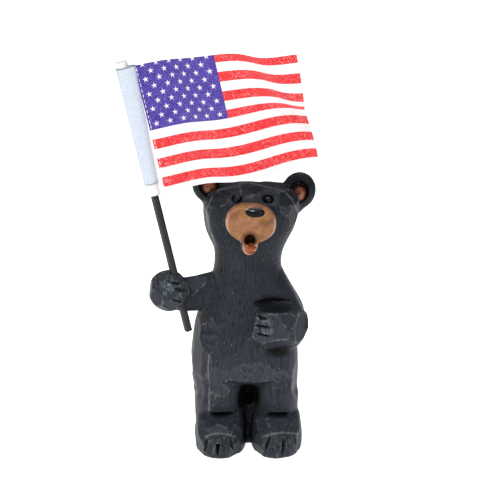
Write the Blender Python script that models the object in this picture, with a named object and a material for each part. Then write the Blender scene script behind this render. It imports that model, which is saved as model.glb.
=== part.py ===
"""A standing black bear, cast from a knife-carved original, holding a small cloth flag on a staff.

The bear faces -Y, its right paw (at -X) grips the staff, and the origin lies on the ground
between its feet. Metres, +Z up. The bear's form is laid out in 140ths of its own height.
"""

import math

import bmesh
import bpy
import numpy as np
from mathutils import Matrix, Vector
from mathutils.bvhtree import BVHTree

# The bear, from its soles to the tip of its left ear
FIGURE_HEIGHT = 0.140
UNIT = FIGURE_HEIGHT / 140

# The staff, a square stick with rounded corners, through a bore in the right paw
STAFF_SIDE = 0.0032
STAFF_CORNER = 0.0007
STAFF_LEAN = math.radians(13)
STAFF_TURN = math.radians(32)
FIT_GAP = 0.0003

# The flag: one cloth whose hoist is wrapped round the staff as a sleeve, under a sewn band
HOIST = 0.0638
FLY = 0.0880
CLOTH = 0.0009
CLOTH_GRID = (24, 15)
SLEEVE_WALL = 0.0006
SLEEVE_SIDES = 20
SLEEVE_PAST_TIP = 0.0014
BAND_THICKNESS = 0.0005
BAND_FROM_TOP = 0.0030
BAND_FROM_BOTTOM = 0.0060
BAND_FLARE = 0.0030

# The flag's waves along its upper and its lower edge, which die out towards the staff
FLAG_TURN = math.radians(8.4)
WAVE_LENGTH = 0.060
WAVE_RISE = 0.021
UPPER_WAVE = 0.0046
UPPER_START = 0.025
LOWER_WAVE = 0.0057
LOWER_START = 0.0345

# The slanted crease towards its free upper corner, and the fold where its end hangs over
CREASE_DEPTH = 0.014
CREASE_AT = 0.0728
CREASE_SLANT = 0.47
CREASE_WIDTH = 0.0147
CREASE_SAG = 0.0019
LOWER_TILT = math.radians(9)
FOLD_TILT = math.radians(54)
FOLD_AT = 0.44
FOLD_SPREAD = 0.10

# Where the paw's centre lies in the figure, the staff's axis in the paw, and along that axis
# the staff's foot below the paw and the flag's lower edge above it, in units
PAW_CENTRE = (-39.3, -13.5, 82.5)
STAFF_IN_PAW = (4.2, -2.6, 0.0)
STAFF_FOOT = -20.5
FLAG_FOOT = 50.6

# The knife's flat cuts all over the figure, broad on the trunk and small on the limbs, in units
BROAD_FACET = 9.0
SMALL_FACET = 6.2
FACET_DEPTH = 0.055
FACET_TRIES = 9000
CARVING_SEED = 11

# The net of the figure's rough mass before its cuts, in units, and its triangles
FORM_VOXEL = 0.9
FORM_SMOOTHING = 6
FIGURE_TRIANGLES = 4700


def clear_scene():
    for old in list(bpy.data.objects):
        bpy.data.objects.remove(old)


def plain_material(name, colour, roughness):
    material = bpy.data.materials.new(name)
    material.use_nodes = True
    shader = material.node_tree.nodes["Principled BSDF"]
    shader.inputs["Base Color"].default_value = (*colour, 1)
    shader.inputs["Roughness"].default_value = roughness
    shader.inputs["Metallic"].default_value = 0
    return material


def add_object(name, mesh, material=None):
    made = bpy.data.objects.new(name, mesh)
    bpy.context.scene.collection.objects.link(made)
    if material:
        mesh.materials.append(material)
    return made


def mesh_from(name, form):
    form.normal_update()
    mesh = bpy.data.meshes.new(name)
    form.to_mesh(mesh)
    form.free()
    return mesh


def evaluated_copy(made):
    """A plain mesh of the object with its modifiers applied."""
    graph = bpy.context.evaluated_depsgraph_get()
    return bpy.data.meshes.new_from_object(made.evaluated_get(graph))


# Lofted and rounded forms, which the bear is built up from


def smooth_rows(table, per_gap):
    """More rows than the table has, on a Catmull-Rom curve through each column."""
    table = np.array(table, float)
    padded = np.vstack([2 * table[0] - table[1], table, 2 * table[-1] - table[-2]])
    rows = []
    for i in range(len(table) - 1):
        before, start, end, after = padded[i : i + 4]
        for t in np.linspace(0, 1, per_gap, endpoint=False):
            rows.append(
                0.5
                * (
                    2 * start
                    + (end - before) * t
                    + (2 * before - 5 * start + 4 * end - after) * t**2
                    + (3 * start - before - 3 * end + after) * t**3
                )
            )
    rows.append(table[-1])
    return np.array(rows)


def add_loft(form, rings):
    """Skins a list of closed rings of points and caps both ends."""
    loops = [[form.verts.new(p) for p in ring] for ring in rings]
    count = len(loops[0])
    for low, high in zip(loops, loops[1:]):
        for i in range(count):
            j = (i + 1) % count
            form.faces.new((low[i], low[j], high[j], high[i]))
    form.faces.new(list(reversed(loops[0])))
    form.faces.new(loops[-1])


def level_ring(height, centre, half_width, front, back, middle, squareness, sides=28):
    """A level section: half_width to each side, reaching y = front and y = back."""
    ring = []
    for i in range(sides):
        angle = 2 * math.pi * i / sides
        across, along = math.cos(angle), math.sin(angle)
        x = math.copysign(abs(across) ** (2 / squareness), across)
        y = math.copysign(abs(along) ** (2 / squareness), along)
        reach = (back - middle) if y > 0 else (middle - front)
        ring.append(Vector((centre + half_width * x, middle + reach * y, height)))
    return ring


def add_standing_form(form, table, per_gap=3):
    """Lofts level sections, each (height, centre, half width, front, back, middle, squareness)."""
    add_loft(form, [level_ring(*row) for row in smooth_rows(table, per_gap)])


def add_ellipsoid(form, centre, radii, turn=None, detail=4):
    turned = (turn or Matrix.Identity(3)).to_4x4()
    place = Matrix.Translation(centre) @ turned @ Matrix.Diagonal((*radii, 1))
    bmesh.ops.create_icosphere(form, subdivisions=detail, radius=1, matrix=place)


def add_limb(form, stations, per_gap=4, sides=20):
    """Lofts sections square to a path. A station is (x, y, z, half height, half depth, squareness)."""
    rows = smooth_rows(stations, per_gap)
    rings = []
    for i, row in enumerate(rows):
        ahead = rows[min(i + 1, len(rows) - 1)][:3] - rows[max(i - 1, 0)][:3]
        along = Vector(ahead).normalized()
        side = Vector((0, 0, 1)).cross(along).normalized()
        up = along.cross(side)
        _, _, _, half_height, half_depth, squareness = row
        ring = []
        for k in range(sides):
            angle = 2 * math.pi * k / sides
            across, rise = math.cos(angle), math.sin(angle)
            a = half_depth * math.copysign(abs(across) ** (2 / squareness), across)
            b = half_height * math.copysign(abs(rise) ** (2 / squareness), rise)
            ring.append(Vector(row[:3]) + side * a + up * b)
        rings.append(ring)
    add_loft(form, rings)


# The bear's own form. Every number in these functions is in units of the figure's height.

HEAD_CENTRE = Vector((0.9, 0, 118))
HEAD_TURN = Matrix.Rotation(math.radians(4.4), 3, "Y") @ Matrix.Rotation(
    math.radians(-6), 3, "X"
)


def on_head(x, y, z):
    """A point given from the head's centre, in the head's own tilted frame."""
    return HEAD_CENTRE + HEAD_TURN @ Vector((x, y, z))


def add_trunk(form):
    """Hips, belly, chest, neck and skull, one above the other."""
    add_standing_form(
        form,
        [
            (-3, -1.6, 23.0, -6.5, 19, 8, 3.0),
            (8, -2.0, 24.0, -8, 21, 7, 3.0),
            (18, -2.6, 25.0, -5, 23, 5, 3.0),
            (29, -2.6, 26.6, -7, 24, 3, 3.0),
            (34, -2.6, 27.0, -14.5, 24, 2, 2.9),
            (38, -2.6, 27.1, -19.6, 24, 2, 2.9),
            (48, -2.8, 27.0, -21, 23.5, 1, 2.8),
            (58, -2.7, 26.0, -20.3, 22, 0, 2.7),
            (66, -2.5, 24.6, -18.8, 20.8, 0, 2.6),
            (74, -1.7, 22.0, -17.6, 19.6, 0, 2.6),
            (82, -1.4, 19.2, -16.2, 18.3, 0, 2.5),
            (89, -1.2, 17.5, -14.8, 17, 0, 2.4),
            (95, -1.1, 16.7, -13.8, 16.5, 0, 2.4),
            (101.5, -0.6, 17.5, -14.2, 17.3, 0, 2.4),
            (107, -0.5, 19.9, -15.6, 18.5, 0, 2.5),
            (112, -0.2, 22.1, -17.2, 19.5, 0, 2.6),
            (118, 0.3, 23.5, -18.6, 20, 0, 2.6),
            (124, 0.9, 24.0, -18.8, 19.5, 0.5, 2.7),
            (129.6, 1.6, 22.6, -17.0, 16.0, 1, 2.7),
            (132.2, 1.8, 19.0, -12.0, 11.5, 1.5, 2.6),
            (133.4, 2.0, 12.5, -6.5, 7.5, 2, 2.3),
        ],
    )


def add_leg_and_foot(form, side_centre, leg_reach, foot_reach):
    """A thigh and shin that stand out of the hips, and the foot in front of them."""
    add_standing_form(
        form,
        [
            (-3, side_centre, leg_reach - 1.5, -11, 8, -1, 2.3),
            (12, side_centre, leg_reach - 0.5, -13, 8, -1, 2.2),
            (20, side_centre, leg_reach - 0.2, -16, 8, -1, 2.2),
            (28, side_centre, leg_reach, -18, 8, -1, 2.2),
            (36, side_centre, leg_reach - 1.5, -17, 8, -1, 2.2),
            (42, side_centre, leg_reach - 5, -12, 6, -1, 2.2),
        ],
    )
    add_standing_form(
        form,
        [
            (-3, side_centre, foot_reach - 1.2, -28.4, 10, -5, 2.2),
            (1, side_centre, foot_reach - 0.3, -29.6, 10, -5, 2.2),
            (5, side_centre, foot_reach, -29.6, 10, -5, 2.2),
            (9, side_centre, foot_reach - 0.2, -28.0, 10, -5, 2.3),
            (13, side_centre, foot_reach - 0.8, -24.0, 9, -5, 2.3),
            (16.5, side_centre, foot_reach - 1.8, -18.0, 8, -5, 2.3),
            (19, side_centre, foot_reach - 4.5, -12.0, 6, -5, 2.2),
        ],
    )


def add_ear(form, side):
    """A thick round ear; side is -1 for the bear's right one and 1 for its left."""
    lean = HEAD_TURN @ Matrix.Rotation(math.radians(14 * side), 3, "Y")
    add_ellipsoid(form, on_head(22.3 * side, 2.0, 13.4), (8.6, 4.6, 9.6), lean)


def add_muzzle(form):
    """The blunt snout, flat in front, with the nose on its upper edge and the jaw below."""
    rings = []
    for y, share in ((4, 1.04), (-4, 1.02), (-9, 1.0), (-10.6, 0.95), (-11.5, 0.82)):
        ring = []
        for i in range(28):
            angle = 2 * math.pi * i / 28
            across, rise = math.cos(angle), math.sin(angle)
            taper = 1 - 0.34 * max(0, -rise) ** 2
            x = 12.2 * share * taper * math.copysign(abs(across) ** 0.83, across)
            z = 9.7 * share * math.copysign(abs(rise) ** 0.83, rise)
            ring.append(on_head(-0.6 + x, -17 + y, -1.2 + z))
        rings.append(ring)
    add_loft(form, rings)
    add_ellipsoid(form, on_head(0.9, -27.2, 4.9), (5.1, 3.0, 2.5), HEAD_TURN)
    jaw_turn = HEAD_TURN @ Matrix.Rotation(math.radians(-24), 3, "X")
    add_ellipsoid(form, on_head(-0.7, -20.0, -12.0), (4.6, 6.0, 5.4), jaw_turn)


def add_raised_arm(form):
    """The bear's right arm, held out, and the fist round the staff."""
    add_limb(
        form,
        [
            (-6, 0, 79.8, 10.0, 9.0, 2.4),
            (-17, -1.5, 79.3, 9.6, 8.6, 2.4),
            (-26, -5.0, 78.9, 8.8, 7.6, 2.5),
            (-34, -9.5, 79.5, 8.4, 6.8, 2.5),
            (-40, -12, 81.0, 7.0, 6.0, 2.4),
        ],
    )
    add_ellipsoid(form, Vector(PAW_CENTRE) + Vector((-0.8, 0, 0.2)), (10.2, 9.6, 10.5))
    add_ellipsoid(form, Vector(PAW_CENTRE) + Vector((2.6, -3.6, 1.2)), (7.2, 6.6, 7.8))


def add_folded_arm(form):
    """The bear's left arm: a sloping shoulder, the elbow and the forearm across the belly."""
    add_standing_form(
        form,
        [
            (93, 7.5, 7.5, -9, 9, 0, 2.3),
            (86, 10.2, 8.4, -12, 9, 0, 2.4),
            (80, 12.8, 9.2, -14.5, 9, 0, 2.5),
            (73, 16.6, 9.8, -17, 9, -2, 2.6),
            (66, 18.2, 9.8, -19, 8, -4, 2.7),
            (59, 18.0, 9.8, -19, 7, -5, 2.7),
            (54, 16.8, 8.6, -17, 5, -5, 2.6),
            (51, 15.6, 5.6, -13, 2, -5, 2.4),
        ],
    )
    add_limb(
        form,
        [
            (24.4, -9, 65.0, 6.6, 6.4, 2.8),
            (21.2, -13, 65.2, 9.0, 8.6, 3.2),
            (14.0, -16.5, 65.4, 9.6, 9.5, 3.4),
            (5.6, -18.5, 66.2, 9.0, 7.2, 3.0),
            (1.4, -19.0, 67.0, 7.0, 5.6, 2.4),
        ],
    )


def bear_form():
    """All of the bear's masses, overlapping, at its real size."""
    form = bmesh.new()
    add_trunk(form)
    add_leg_and_foot(form, -15.0, 13.4, 13.2)
    add_leg_and_foot(form, 13.4, 11.2, 13.2)
    for side in (-1, 1):
        add_ear(form, side)
    add_muzzle(form)
    add_raised_arm(form)
    add_folded_arm(form)
    add_ellipsoid(form, Vector((-0.5, 24.5, 33)), (4.2, 4.0, 5.6))
    bmesh.ops.scale(form, vec=(UNIT, UNIT, UNIT), verts=form.verts)
    return form


# Knife work on the bear


# Broad cuts that show from a step away: place, direction outwards, reach and depth, in units
BROAD_CUTS = (
    ((-25.6, -12.4, 43.0), (-0.86, -0.51, 0.0), (9, 9, 27), 0.0),
    ((23.2, -12.0, 35.0), (0.86, -0.51, 0.0), (8, 8, 17), 0.0),
    ((1.5, -21.0, 43.5), (0.05, -0.97, -0.24), (13, 8, 8), 0.7),
    ((15.5, -18.5, 41.5), (0.40, -0.86, -0.32), (10, 8, 8), 0.6),
    ((-15.0, -18.8, 38.0), (-0.25, -0.92, -0.30), (10, 8, 8), 0.6),
    ((-14.0, -18.2, 27.5), (-0.10, -0.98, 0.10), (8, 7, 7), 0.5),
    ((13.0, -18.2, 27.5), (0.15, -0.98, 0.10), (8, 7, 7), 0.5),
    ((-18.0, -13.0, 126.0), (-0.55, -0.55, 0.63), (9, 9, 9), 0.5),
    ((19.5, -12.0, 127.0), (0.50, -0.55, 0.67), (9, 9, 9), 0.5),
    ((9.0, -12.5, 131.0), (0.10, -0.60, 0.80), (17, 7, 6), 0.5),
    ((-21.8, -10.0, 113.0), (-0.88, -0.47, -0.05), (8, 9, 14), 0.5),
    ((21.2, -10.0, 113.0), (0.88, -0.47, -0.05), (8, 9, 14), 0.5),
    ((-25.0, -10.6, 85.4), (-0.12, -0.62, 0.78), (11, 7, 7), 0.9),
    ((14.0, -25.9, 65.5), (0.05, -1.0, 0.05), (13, 8, 10), 0.8),
    ((15.0, -24.0, 57.8), (0.10, -0.62, -0.78), (13, 8, 7), 1.4),
    ((26.0, -16.5, 64.0), (0.78, -0.62, 0.0), (7, 8, 10), 0.8),
)


def facet_size(place):
    on_trunk = 22 < place[2] < 131 and abs(place[0]) < 26
    return BROAD_FACET if on_trunk else SMALL_FACET


def facet_seeds(surface):
    """Places spread over the figure, each with its outward direction and its facet's size."""
    chance = np.random.default_rng(CARVING_SEED)
    tries = chance.uniform((-52, -32, 0), (36, 30, 143), (FACET_TRIES, 3))
    snout = on_head(0, -26, 0)
    seeds, taken = [], np.empty((0, 3))
    for trial in tries:
        place, out, _, _ = surface.find_nearest(Vector(trial) * UNIT)
        place = np.array(place) / UNIT
        if place[2] < 1 or np.linalg.norm(place - snout) < 14:
            continue
        size = facet_size(place)
        if len(taken) and np.linalg.norm(taken - place, axis=1).min() < size:
            continue
        taken = np.vstack([taken, place])
        seeds.append((place, np.array(out), size))
    return seeds


def cut_flat(points, normals, place, out, reach, depth, most):
    """Trims what stands above a plane under a place, and less of it near the cut's rim."""
    away = points - place
    share = np.linalg.norm(away / reach, axis=1)
    near = (share < 1) & (normals @ out > 0.3)
    above = away[near] @ out + depth
    fade = np.clip((1 - share[near]) / 0.3, 0, 1)
    points[near] -= (np.clip(above, 0, most) * fade)[:, None] * out


def carve(mesh, surface):
    """The broad cuts first, then small flat facets all over."""
    count = len(mesh.vertices)
    points, normals = np.empty(count * 3), np.empty(count * 3)
    mesh.vertices.foreach_get("co", points)
    mesh.vertex_normals.foreach_get("vector", normals)
    points, normals = points.reshape(-1, 3) / UNIT, normals.reshape(-1, 3)
    for place, out, reach, depth in BROAD_CUTS:
        cut_flat(points, normals, np.array(place), np.array(out), np.array(reach), depth, 4)
    chance = np.random.default_rng(CARVING_SEED)
    for place, out, size in facet_seeds(surface):
        depth = FACET_DEPTH * size * chance.uniform(0.6, 1.3)
        reach = 1.15 * size
        away = points - place
        near = (np.linalg.norm(away, axis=1) < reach) & (normals @ out > 0.3)
        height = away[near] @ out
        if len(height) and height.max() < 0.1 * size and height.mean() < 0:
            cut_flat(points, normals, place, out, reach, depth, 0.2 * size)
    mesh.vertices.foreach_set("co", (points * UNIT).ravel())
    mesh.update()


def surface_point(surface, x, z):
    """The point and the outward direction of the bear's front at (x, z), in units."""
    start = Vector((x, -60, z)) * UNIT
    place, normal, _, _ = surface.ray_cast(start, Vector((0, 1, 0)))
    return place / UNIT, normal


def add_groove(form, surface, start, end, width, depth):
    """A pointed V-cut from one front point (x, z) to another."""
    first, first_out = surface_point(surface, *start)
    last, last_out = surface_point(surface, *end)
    middle, middle_out = surface_point(
        surface, (start[0] + end[0]) / 2, (start[1] + end[1]) / 2
    )
    out = (first_out + last_out + middle_out).normalized()
    side = (last - first).cross(out).normalized()
    lift = 0.8
    corners = [first + first_out * 0.2, last + last_out * 0.2]
    corners += [first + out * lift, last + out * lift]
    for place in (first.lerp(middle, 0.5), middle, last.lerp(middle, 0.5)):
        half = width * 0.5 * (1 + lift / depth)
        corners.append(place + out * lift + side * half)
        corners.append(place + out * lift - side * half)
        corners.append(place - out * depth)
    points = [form.verts.new(corner) for corner in corners]
    hull = bmesh.ops.convex_hull(form, input=points)
    spare = set(hull["geom_interior"]) | set(hull["geom_unused"])
    bmesh.ops.delete(form, geom=list(spare), context="VERTS")


TOE_GROOVES = (
    (-14.7, ((-6.3, 9.8), (-8.2, 1.2)), ((-1.0, 10.4), (-1.5, 1.0)), ((4.4, 10.2), (6.6, 2.6))),
    (13.2, ((-3.1, 11.2), (-5.8, 2.8)), ((3.6, 10.6), (3.0, 1.0)), ((8.8, 9.6), (10.0, 3.4))),
)
RAISED_FINGERS = (
    ((-40.7, 89.4), (-33.6, 88.2)),
    ((-37.8, 86.6), (-30.6, 84.2)),
    ((-38.4, 80.9), (-32.8, 78.6)),
)
FOLDED_FINGERS = (((2.8, 72.2), (9.0, 70.9)), ((2.2, 68.0), (10.4, 66.8)), ((2.4, 63.8), (10.4, 62.4)))
ANKLE_CREASES = ((-13.4, 18.4, 8.4), (14.6, 18.2, 8.4))
EYES = ((-6.3, 130.2), (8.8, 129.2))


def add_grooves(form, surface):
    """The cuts between toes and between fingers."""
    for centre, *grooves in TOE_GROOVES:
        for (top, high), (foot, low) in grooves:
            add_groove(form, surface, (centre + top, high), (centre + foot, low), 1.5, 1.7)
    for start, end in RAISED_FINGERS:
        add_groove(form, surface, start, end, 1.3, 1.3)
    for start, end in FOLDED_FINGERS:
        add_groove(form, surface, start, end, 1.5, 1.6)


def ear_frame(side):
    """The middle of an ear's hollow, and the ear's own lean."""
    lean = HEAD_TURN @ Matrix.Rotation(math.radians(14 * side), 3, "Y")
    return on_head(22.5 * side, -3.4, 13.2), lean


def add_hollows(form, surface):
    """What is hollowed out: ears, eyes' rings, mouth, fork, ankles and the gap over the arm."""
    for side in (-1, 1):
        middle, lean = ear_frame(side)
        add_ellipsoid(form, middle, (4.4, 3.2, 4.8), lean, 3)
    for x, z in EYES:
        place, out = surface_point(surface, x, z)
        add_ellipsoid(form, place + out * 1.9, (2.9, 2.9, 2.9), detail=2)
    add_ellipsoid(form, on_head(-0.6, -28.6, -7.0), (3.9, 5.6, 4.2), HEAD_TURN, 3)
    add_ellipsoid(form, Vector((-0.9, -13, 26.0)), (5.0, 8.5, 7.5), detail=3)
    for x, z, half in ANKLE_CREASES:
        add_ellipsoid(form, Vector((x, -17.6, z)), (half, 5.6, 1.7), detail=3)
    add_ellipsoid(form, Vector((13.5, -21.0, 77.0)), (13.5, 9.0, 3.2), detail=3)


def add_inlays(form, surface):
    """What stands in the hollows: the ears' linings, the eyes and the tongue."""
    for side in (-1, 1):
        middle, lean = ear_frame(side)
        add_ellipsoid(form, middle + lean @ Vector((0, 3.6, -0.3)), (3.3, 2.0, 3.6), lean, 3)
    for x, z in EYES:
        place, out = surface_point(surface, x, z)
        add_ellipsoid(form, place - out * 0.7, (1.8, 1.8, 1.8), detail=2)
    add_ellipsoid(form, on_head(-0.1, -23.4, -12.4), (2.5, 4.2, 2.6), HEAD_TURN, 3)


def staff_frame():
    """Where the staff's axis passes the paw, its direction upwards and the flag's direction."""
    paw = (Vector(PAW_CENTRE) + Vector(STAFF_IN_PAW)) * UNIT
    up = Vector((-math.sin(STAFF_LEAN), 0, math.cos(STAFF_LEAN)))
    fly = Vector((math.cos(STAFF_LEAN), 0, math.sin(STAFF_LEAN)))
    return paw, up, fly


def staff_section(grow):
    """The staff's rounded square, in (fly, depth) about its axis, grown all round."""
    reach = STAFF_SIDE / 2 - STAFF_CORNER
    radius = STAFF_CORNER + grow
    points = []
    for quarter in range(4):
        for step in range(4):
            angle = math.pi / 2 * (quarter + step / 3)
            corner = math.pi / 4 + math.pi / 2 * quarter
            x = reach * math.sqrt(2) * math.cos(corner) + radius * math.cos(angle)
            y = reach * math.sqrt(2) * math.sin(corner) + radius * math.sin(angle)
            turned = Matrix.Rotation(STAFF_TURN, 2) @ Vector((x, y))
            points.append(turned)
    return points


def add_along_staff(form, sections):
    """Lofts sections, each (distance above the paw, points in (fly, depth))."""
    paw, up, fly = staff_frame()
    back = Vector((0, 1, 0))
    rings = []
    for height, section in sections:
        rings.append([paw + up * height + fly * x + back * y for x, y in section])
    add_loft(form, rings)


def make_staff(material):
    form = bmesh.new()
    low, high = STAFF_FOOT * UNIT, FLAG_FOOT * UNIT + HOIST - SLEEVE_PAST_TIP
    ease = STAFF_CORNER / 2
    full, small = staff_section(0), staff_section(-ease)
    add_along_staff(
        form, [(low, small), (low + ease, full), (high - ease, full), (high, small)]
    )
    bmesh.ops.recalc_face_normals(form, faces=form.faces)
    return add_object("flag_staff", mesh_from("flag_staff", form), material)


def helper(name, form):
    """A cutter or an addition that only serves a Boolean."""
    bmesh.ops.recalc_face_normals(form, faces=form.faces)
    made = add_object(name, mesh_from(name, form))
    made.hide_render = True
    made.display_type = "WIRE"
    return made


def boolean(made, name, other, operation):
    modifier = made.modifiers.new(name, "BOOLEAN")
    modifier.solver = "EXACT"
    modifier.operation = operation
    modifier.object = other


def staff_bore(name, low, high):
    """A cutter for the staff's own section and its clearance."""
    form = bmesh.new()
    add_along_staff(form, [(low, staff_section(FIT_GAP)), (high, staff_section(FIT_GAP))])
    return helper(name, form)


def make_bear(material):
    rough = add_object("bear_masses", mesh_from("bear_masses", bear_form()))
    melt = rough.modifiers.new("one_body", "REMESH")
    melt.mode = "VOXEL"
    melt.voxel_size = FORM_VOXEL * UNIT
    soften = rough.modifiers.new("soften", "SMOOTH")
    soften.factor = 0.5
    soften.iterations = FORM_SMOOTHING
    mesh = evaluated_copy(rough)
    mesh.name = "bear"
    bpy.data.objects.remove(rough)
    bear = add_object("bear", mesh, material)
    carve(mesh, BVHTree.FromObject(bear, bpy.context.evaluated_depsgraph_get()))
    bpy.context.view_layer.update()
    surface = BVHTree.FromObject(bear, bpy.context.evaluated_depsgraph_get())
    mesh.calc_loop_triangles()
    thin = bear.modifiers.new("facets", "DECIMATE")
    thin.ratio = FIGURE_TRIANGLES / len(mesh.loop_triangles)

    ground = bmesh.new()
    below = Matrix.Translation((0, 0, -10 * UNIT)) @ Matrix.Diagonal((*[120 * UNIT] * 2, 20 * UNIT, 1))
    bmesh.ops.create_cube(ground, size=1, matrix=below)
    boolean(bear, "flat_soles", helper("below_ground", ground), "DIFFERENCE")
    for name, fill, operation in (
        ("grooves", add_grooves, "DIFFERENCE"),
        ("hollows", add_hollows, "DIFFERENCE"),
        ("inlays", add_inlays, "UNION"),
    ):
        form = bmesh.new()
        fill(form, surface)
        bmesh.ops.scale(form, vec=(UNIT, UNIT, UNIT), verts=form.verts)
        boolean(bear, name, helper(name, form), operation)
    reach = 16 * UNIT
    boolean(bear, "staff_bore", staff_bore("paw_bore", -reach, reach), "DIFFERENCE")
    return bear


# The flag


def running_total(values, step):
    """The integral from the first row on, by the trapezium rule."""
    steps = (values[1:] + values[:-1]) / 2 * step
    return np.concatenate([np.zeros((1, values.shape[1])), np.cumsum(steps, axis=0)])


def cloth_places(start, columns, rows, finer):
    """The cloth's points, one row for each drop from the top edge, one column along the fly."""
    paw, up, fly = staff_frame()
    s, s_step = np.linspace(start, FLY, columns * finer + 1, retstep=True)
    drop, drop_step = np.linspace(0, HOIST, rows * finer + 1, retstep=True)
    s, drop = s[None, :], drop[:, None]
    down, share = drop / HOIST, s / FLY
    near_staff = 1 - np.exp(-((s / WAVE_RISE) ** 2))
    upper = UPPER_WAVE * np.sin(2 * np.pi * (s - UPPER_START) / WAVE_LENGTH)
    lower = LOWER_WAVE * np.sin(2 * np.pi * (s - LOWER_START) / WAVE_LENGTH)
    crease = np.exp(-(((s - CREASE_AT - CREASE_SLANT * drop) / CREASE_WIDTH) ** 2)) * (1 - down)
    forward = near_staff * (upper * (1 - down) + lower * down)
    forward += CREASE_DEPTH * crease + math.sin(FLAG_TURN) * s
    slope = np.gradient(forward, s_step, axis=1)
    chord = running_total(np.sqrt(np.clip(1 - slope**2, 0.1, 1)).T, s_step).T
    chord += start * math.cos(FLAG_TURN)
    fold = np.exp(-(((down - FOLD_AT) / FOLD_SPREAD) ** 2))
    tilt = (LOWER_TILT + FOLD_TILT * fold) * share**1.6
    rise = running_total(np.cos(tilt)[::-1], drop_step)[::-1] - CREASE_SAG * crease
    back = -forward - running_total(np.sin(tilt)[::-1], drop_step)[::-1]
    bottom = np.array(paw + up * FLAG_FOOT * UNIT)
    places = bottom + rise[..., None] * np.array(up) + chord[..., None] * np.array(fly)
    places[..., 1] += back
    return places[::finer, ::finer]


def sleeve_outline(bore, wall, flare):
    """A rounded outline round the bore, with the wall's thickness, wider on the flag's side."""
    half = bore + wall
    points = []
    for i in range(SLEEVE_SIDES):
        angle = 2 * math.pi * i / SLEEVE_SIDES
        x = math.copysign(abs(math.cos(angle)) ** 0.8, math.cos(angle))
        y = math.copysign(abs(math.sin(angle)) ** 0.8, math.sin(angle))
        points.append(Vector((x * (half + flare if x > 0 else half), y * half)))
    return points


def make_flag(material):
    cloth = bmesh.new()
    columns, rows = CLOTH_GRID
    bore = max(p.x for p in staff_section(FIT_GAP))
    places = cloth_places(bore + SLEEVE_WALL / 2, columns, rows, 8)
    grid = [[cloth.verts.new(place) for place in row] for row in places]
    for upper, lower in zip(grid, grid[1:]):
        for i in range(columns):
            cloth.faces.new((upper[i], lower[i], lower[i + 1], upper[i + 1]))
    flag = add_object("flag", mesh_from("flag", cloth), material)
    thick = flag.modifiers.new("cloth", "SOLIDIFY")
    thick.thickness = CLOTH
    thick.offset = 0

    low = FLAG_FOOT * UNIT
    high = low + HOIST
    wall = SLEEVE_WALL + BAND_THICKNESS
    narrow = sleeve_outline(bore, wall, 0)
    flared = sleeve_outline(bore, wall, BAND_FLARE)
    bare = sleeve_outline(bore, SLEEVE_WALL, 0)
    tube = bmesh.new()
    add_along_staff(tube, [(low, bare), (high, bare)])
    band = bmesh.new()
    add_along_staff(band, [(low + BAND_FROM_BOTTOM, narrow), (high - BAND_FROM_TOP, flared)])
    boolean(flag, "sleeve", helper("sleeve", tube), "UNION")
    boolean(flag, "band", helper("band", band), "UNION")
    past = STAFF_SIDE
    boolean(flag, "staff_bore", staff_bore("sleeve_bore", low - past, high + past), "DIFFERENCE")
    return flag


clear_scene()
make_bear(plain_material("black_paint", (0.03, 0.033, 0.038), 0.5))
make_staff(plain_material("black_wood", (0.022, 0.022, 0.022), 0.6))
make_flag(plain_material("printed_cloth", (0.8, 0.78, 0.8), 0.85))
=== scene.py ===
"""The looks of a knife-carved black bear and its small cloth flag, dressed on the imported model.

The bear faces -Y. Places on the figure are in its own units, 140ths of its height, and
places on the flag's cloth are in millimetres from the staff's axis and from the top edge.
"""

import math

import bmesh
import bpy
import numpy as np
from mathutils import Matrix, Vector, noise
from mathutils.bvhtree import BVHTree
from mathutils.kdtree import KDTree


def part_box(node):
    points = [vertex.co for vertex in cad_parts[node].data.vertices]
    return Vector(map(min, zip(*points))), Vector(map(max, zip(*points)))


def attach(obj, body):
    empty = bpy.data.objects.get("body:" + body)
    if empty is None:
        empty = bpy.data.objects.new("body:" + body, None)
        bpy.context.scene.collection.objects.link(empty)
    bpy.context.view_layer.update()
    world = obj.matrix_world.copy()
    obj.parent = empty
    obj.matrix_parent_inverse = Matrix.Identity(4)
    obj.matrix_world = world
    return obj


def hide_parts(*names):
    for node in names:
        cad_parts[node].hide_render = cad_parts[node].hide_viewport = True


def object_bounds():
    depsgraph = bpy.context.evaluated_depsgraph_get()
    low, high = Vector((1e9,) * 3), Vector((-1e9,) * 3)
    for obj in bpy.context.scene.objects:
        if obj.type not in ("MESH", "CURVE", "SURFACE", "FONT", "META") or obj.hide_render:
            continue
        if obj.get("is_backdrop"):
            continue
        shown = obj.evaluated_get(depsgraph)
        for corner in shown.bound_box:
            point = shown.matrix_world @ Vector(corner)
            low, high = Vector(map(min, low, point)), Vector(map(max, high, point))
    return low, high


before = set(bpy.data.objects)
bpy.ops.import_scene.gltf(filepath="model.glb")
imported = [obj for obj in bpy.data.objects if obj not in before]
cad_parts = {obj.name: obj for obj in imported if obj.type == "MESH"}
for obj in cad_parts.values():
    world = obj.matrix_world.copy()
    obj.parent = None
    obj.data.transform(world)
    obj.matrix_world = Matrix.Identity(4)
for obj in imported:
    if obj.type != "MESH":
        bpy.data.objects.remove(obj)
CAD_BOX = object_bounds()

# The figure's unit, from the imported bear, whose left ear's tip is at this height in units
EAR_TIP = 142.0
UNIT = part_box("bear")[1].z / EAR_TIP

# The voxels and the smoothing that melt the bear's masses into one
FORM_VOXEL = 0.60
FORM_SMOOTHING = 13

# The knife's flat cuts all over the figure: their two sizes in units, their depth as a share
# of their size, their tilt, how much deeper they go on the fist, how many places are tried
# for them and the seed of their draws
BROAD_FACET = 9.0
SMALL_FACET = 6.2
FACET_DEPTH = 0.075
FACET_TILT = 0.11
FIST_DEPTH = 1.7
FACET_TRIES = 9000
CARVING_SEED = 11

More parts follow.
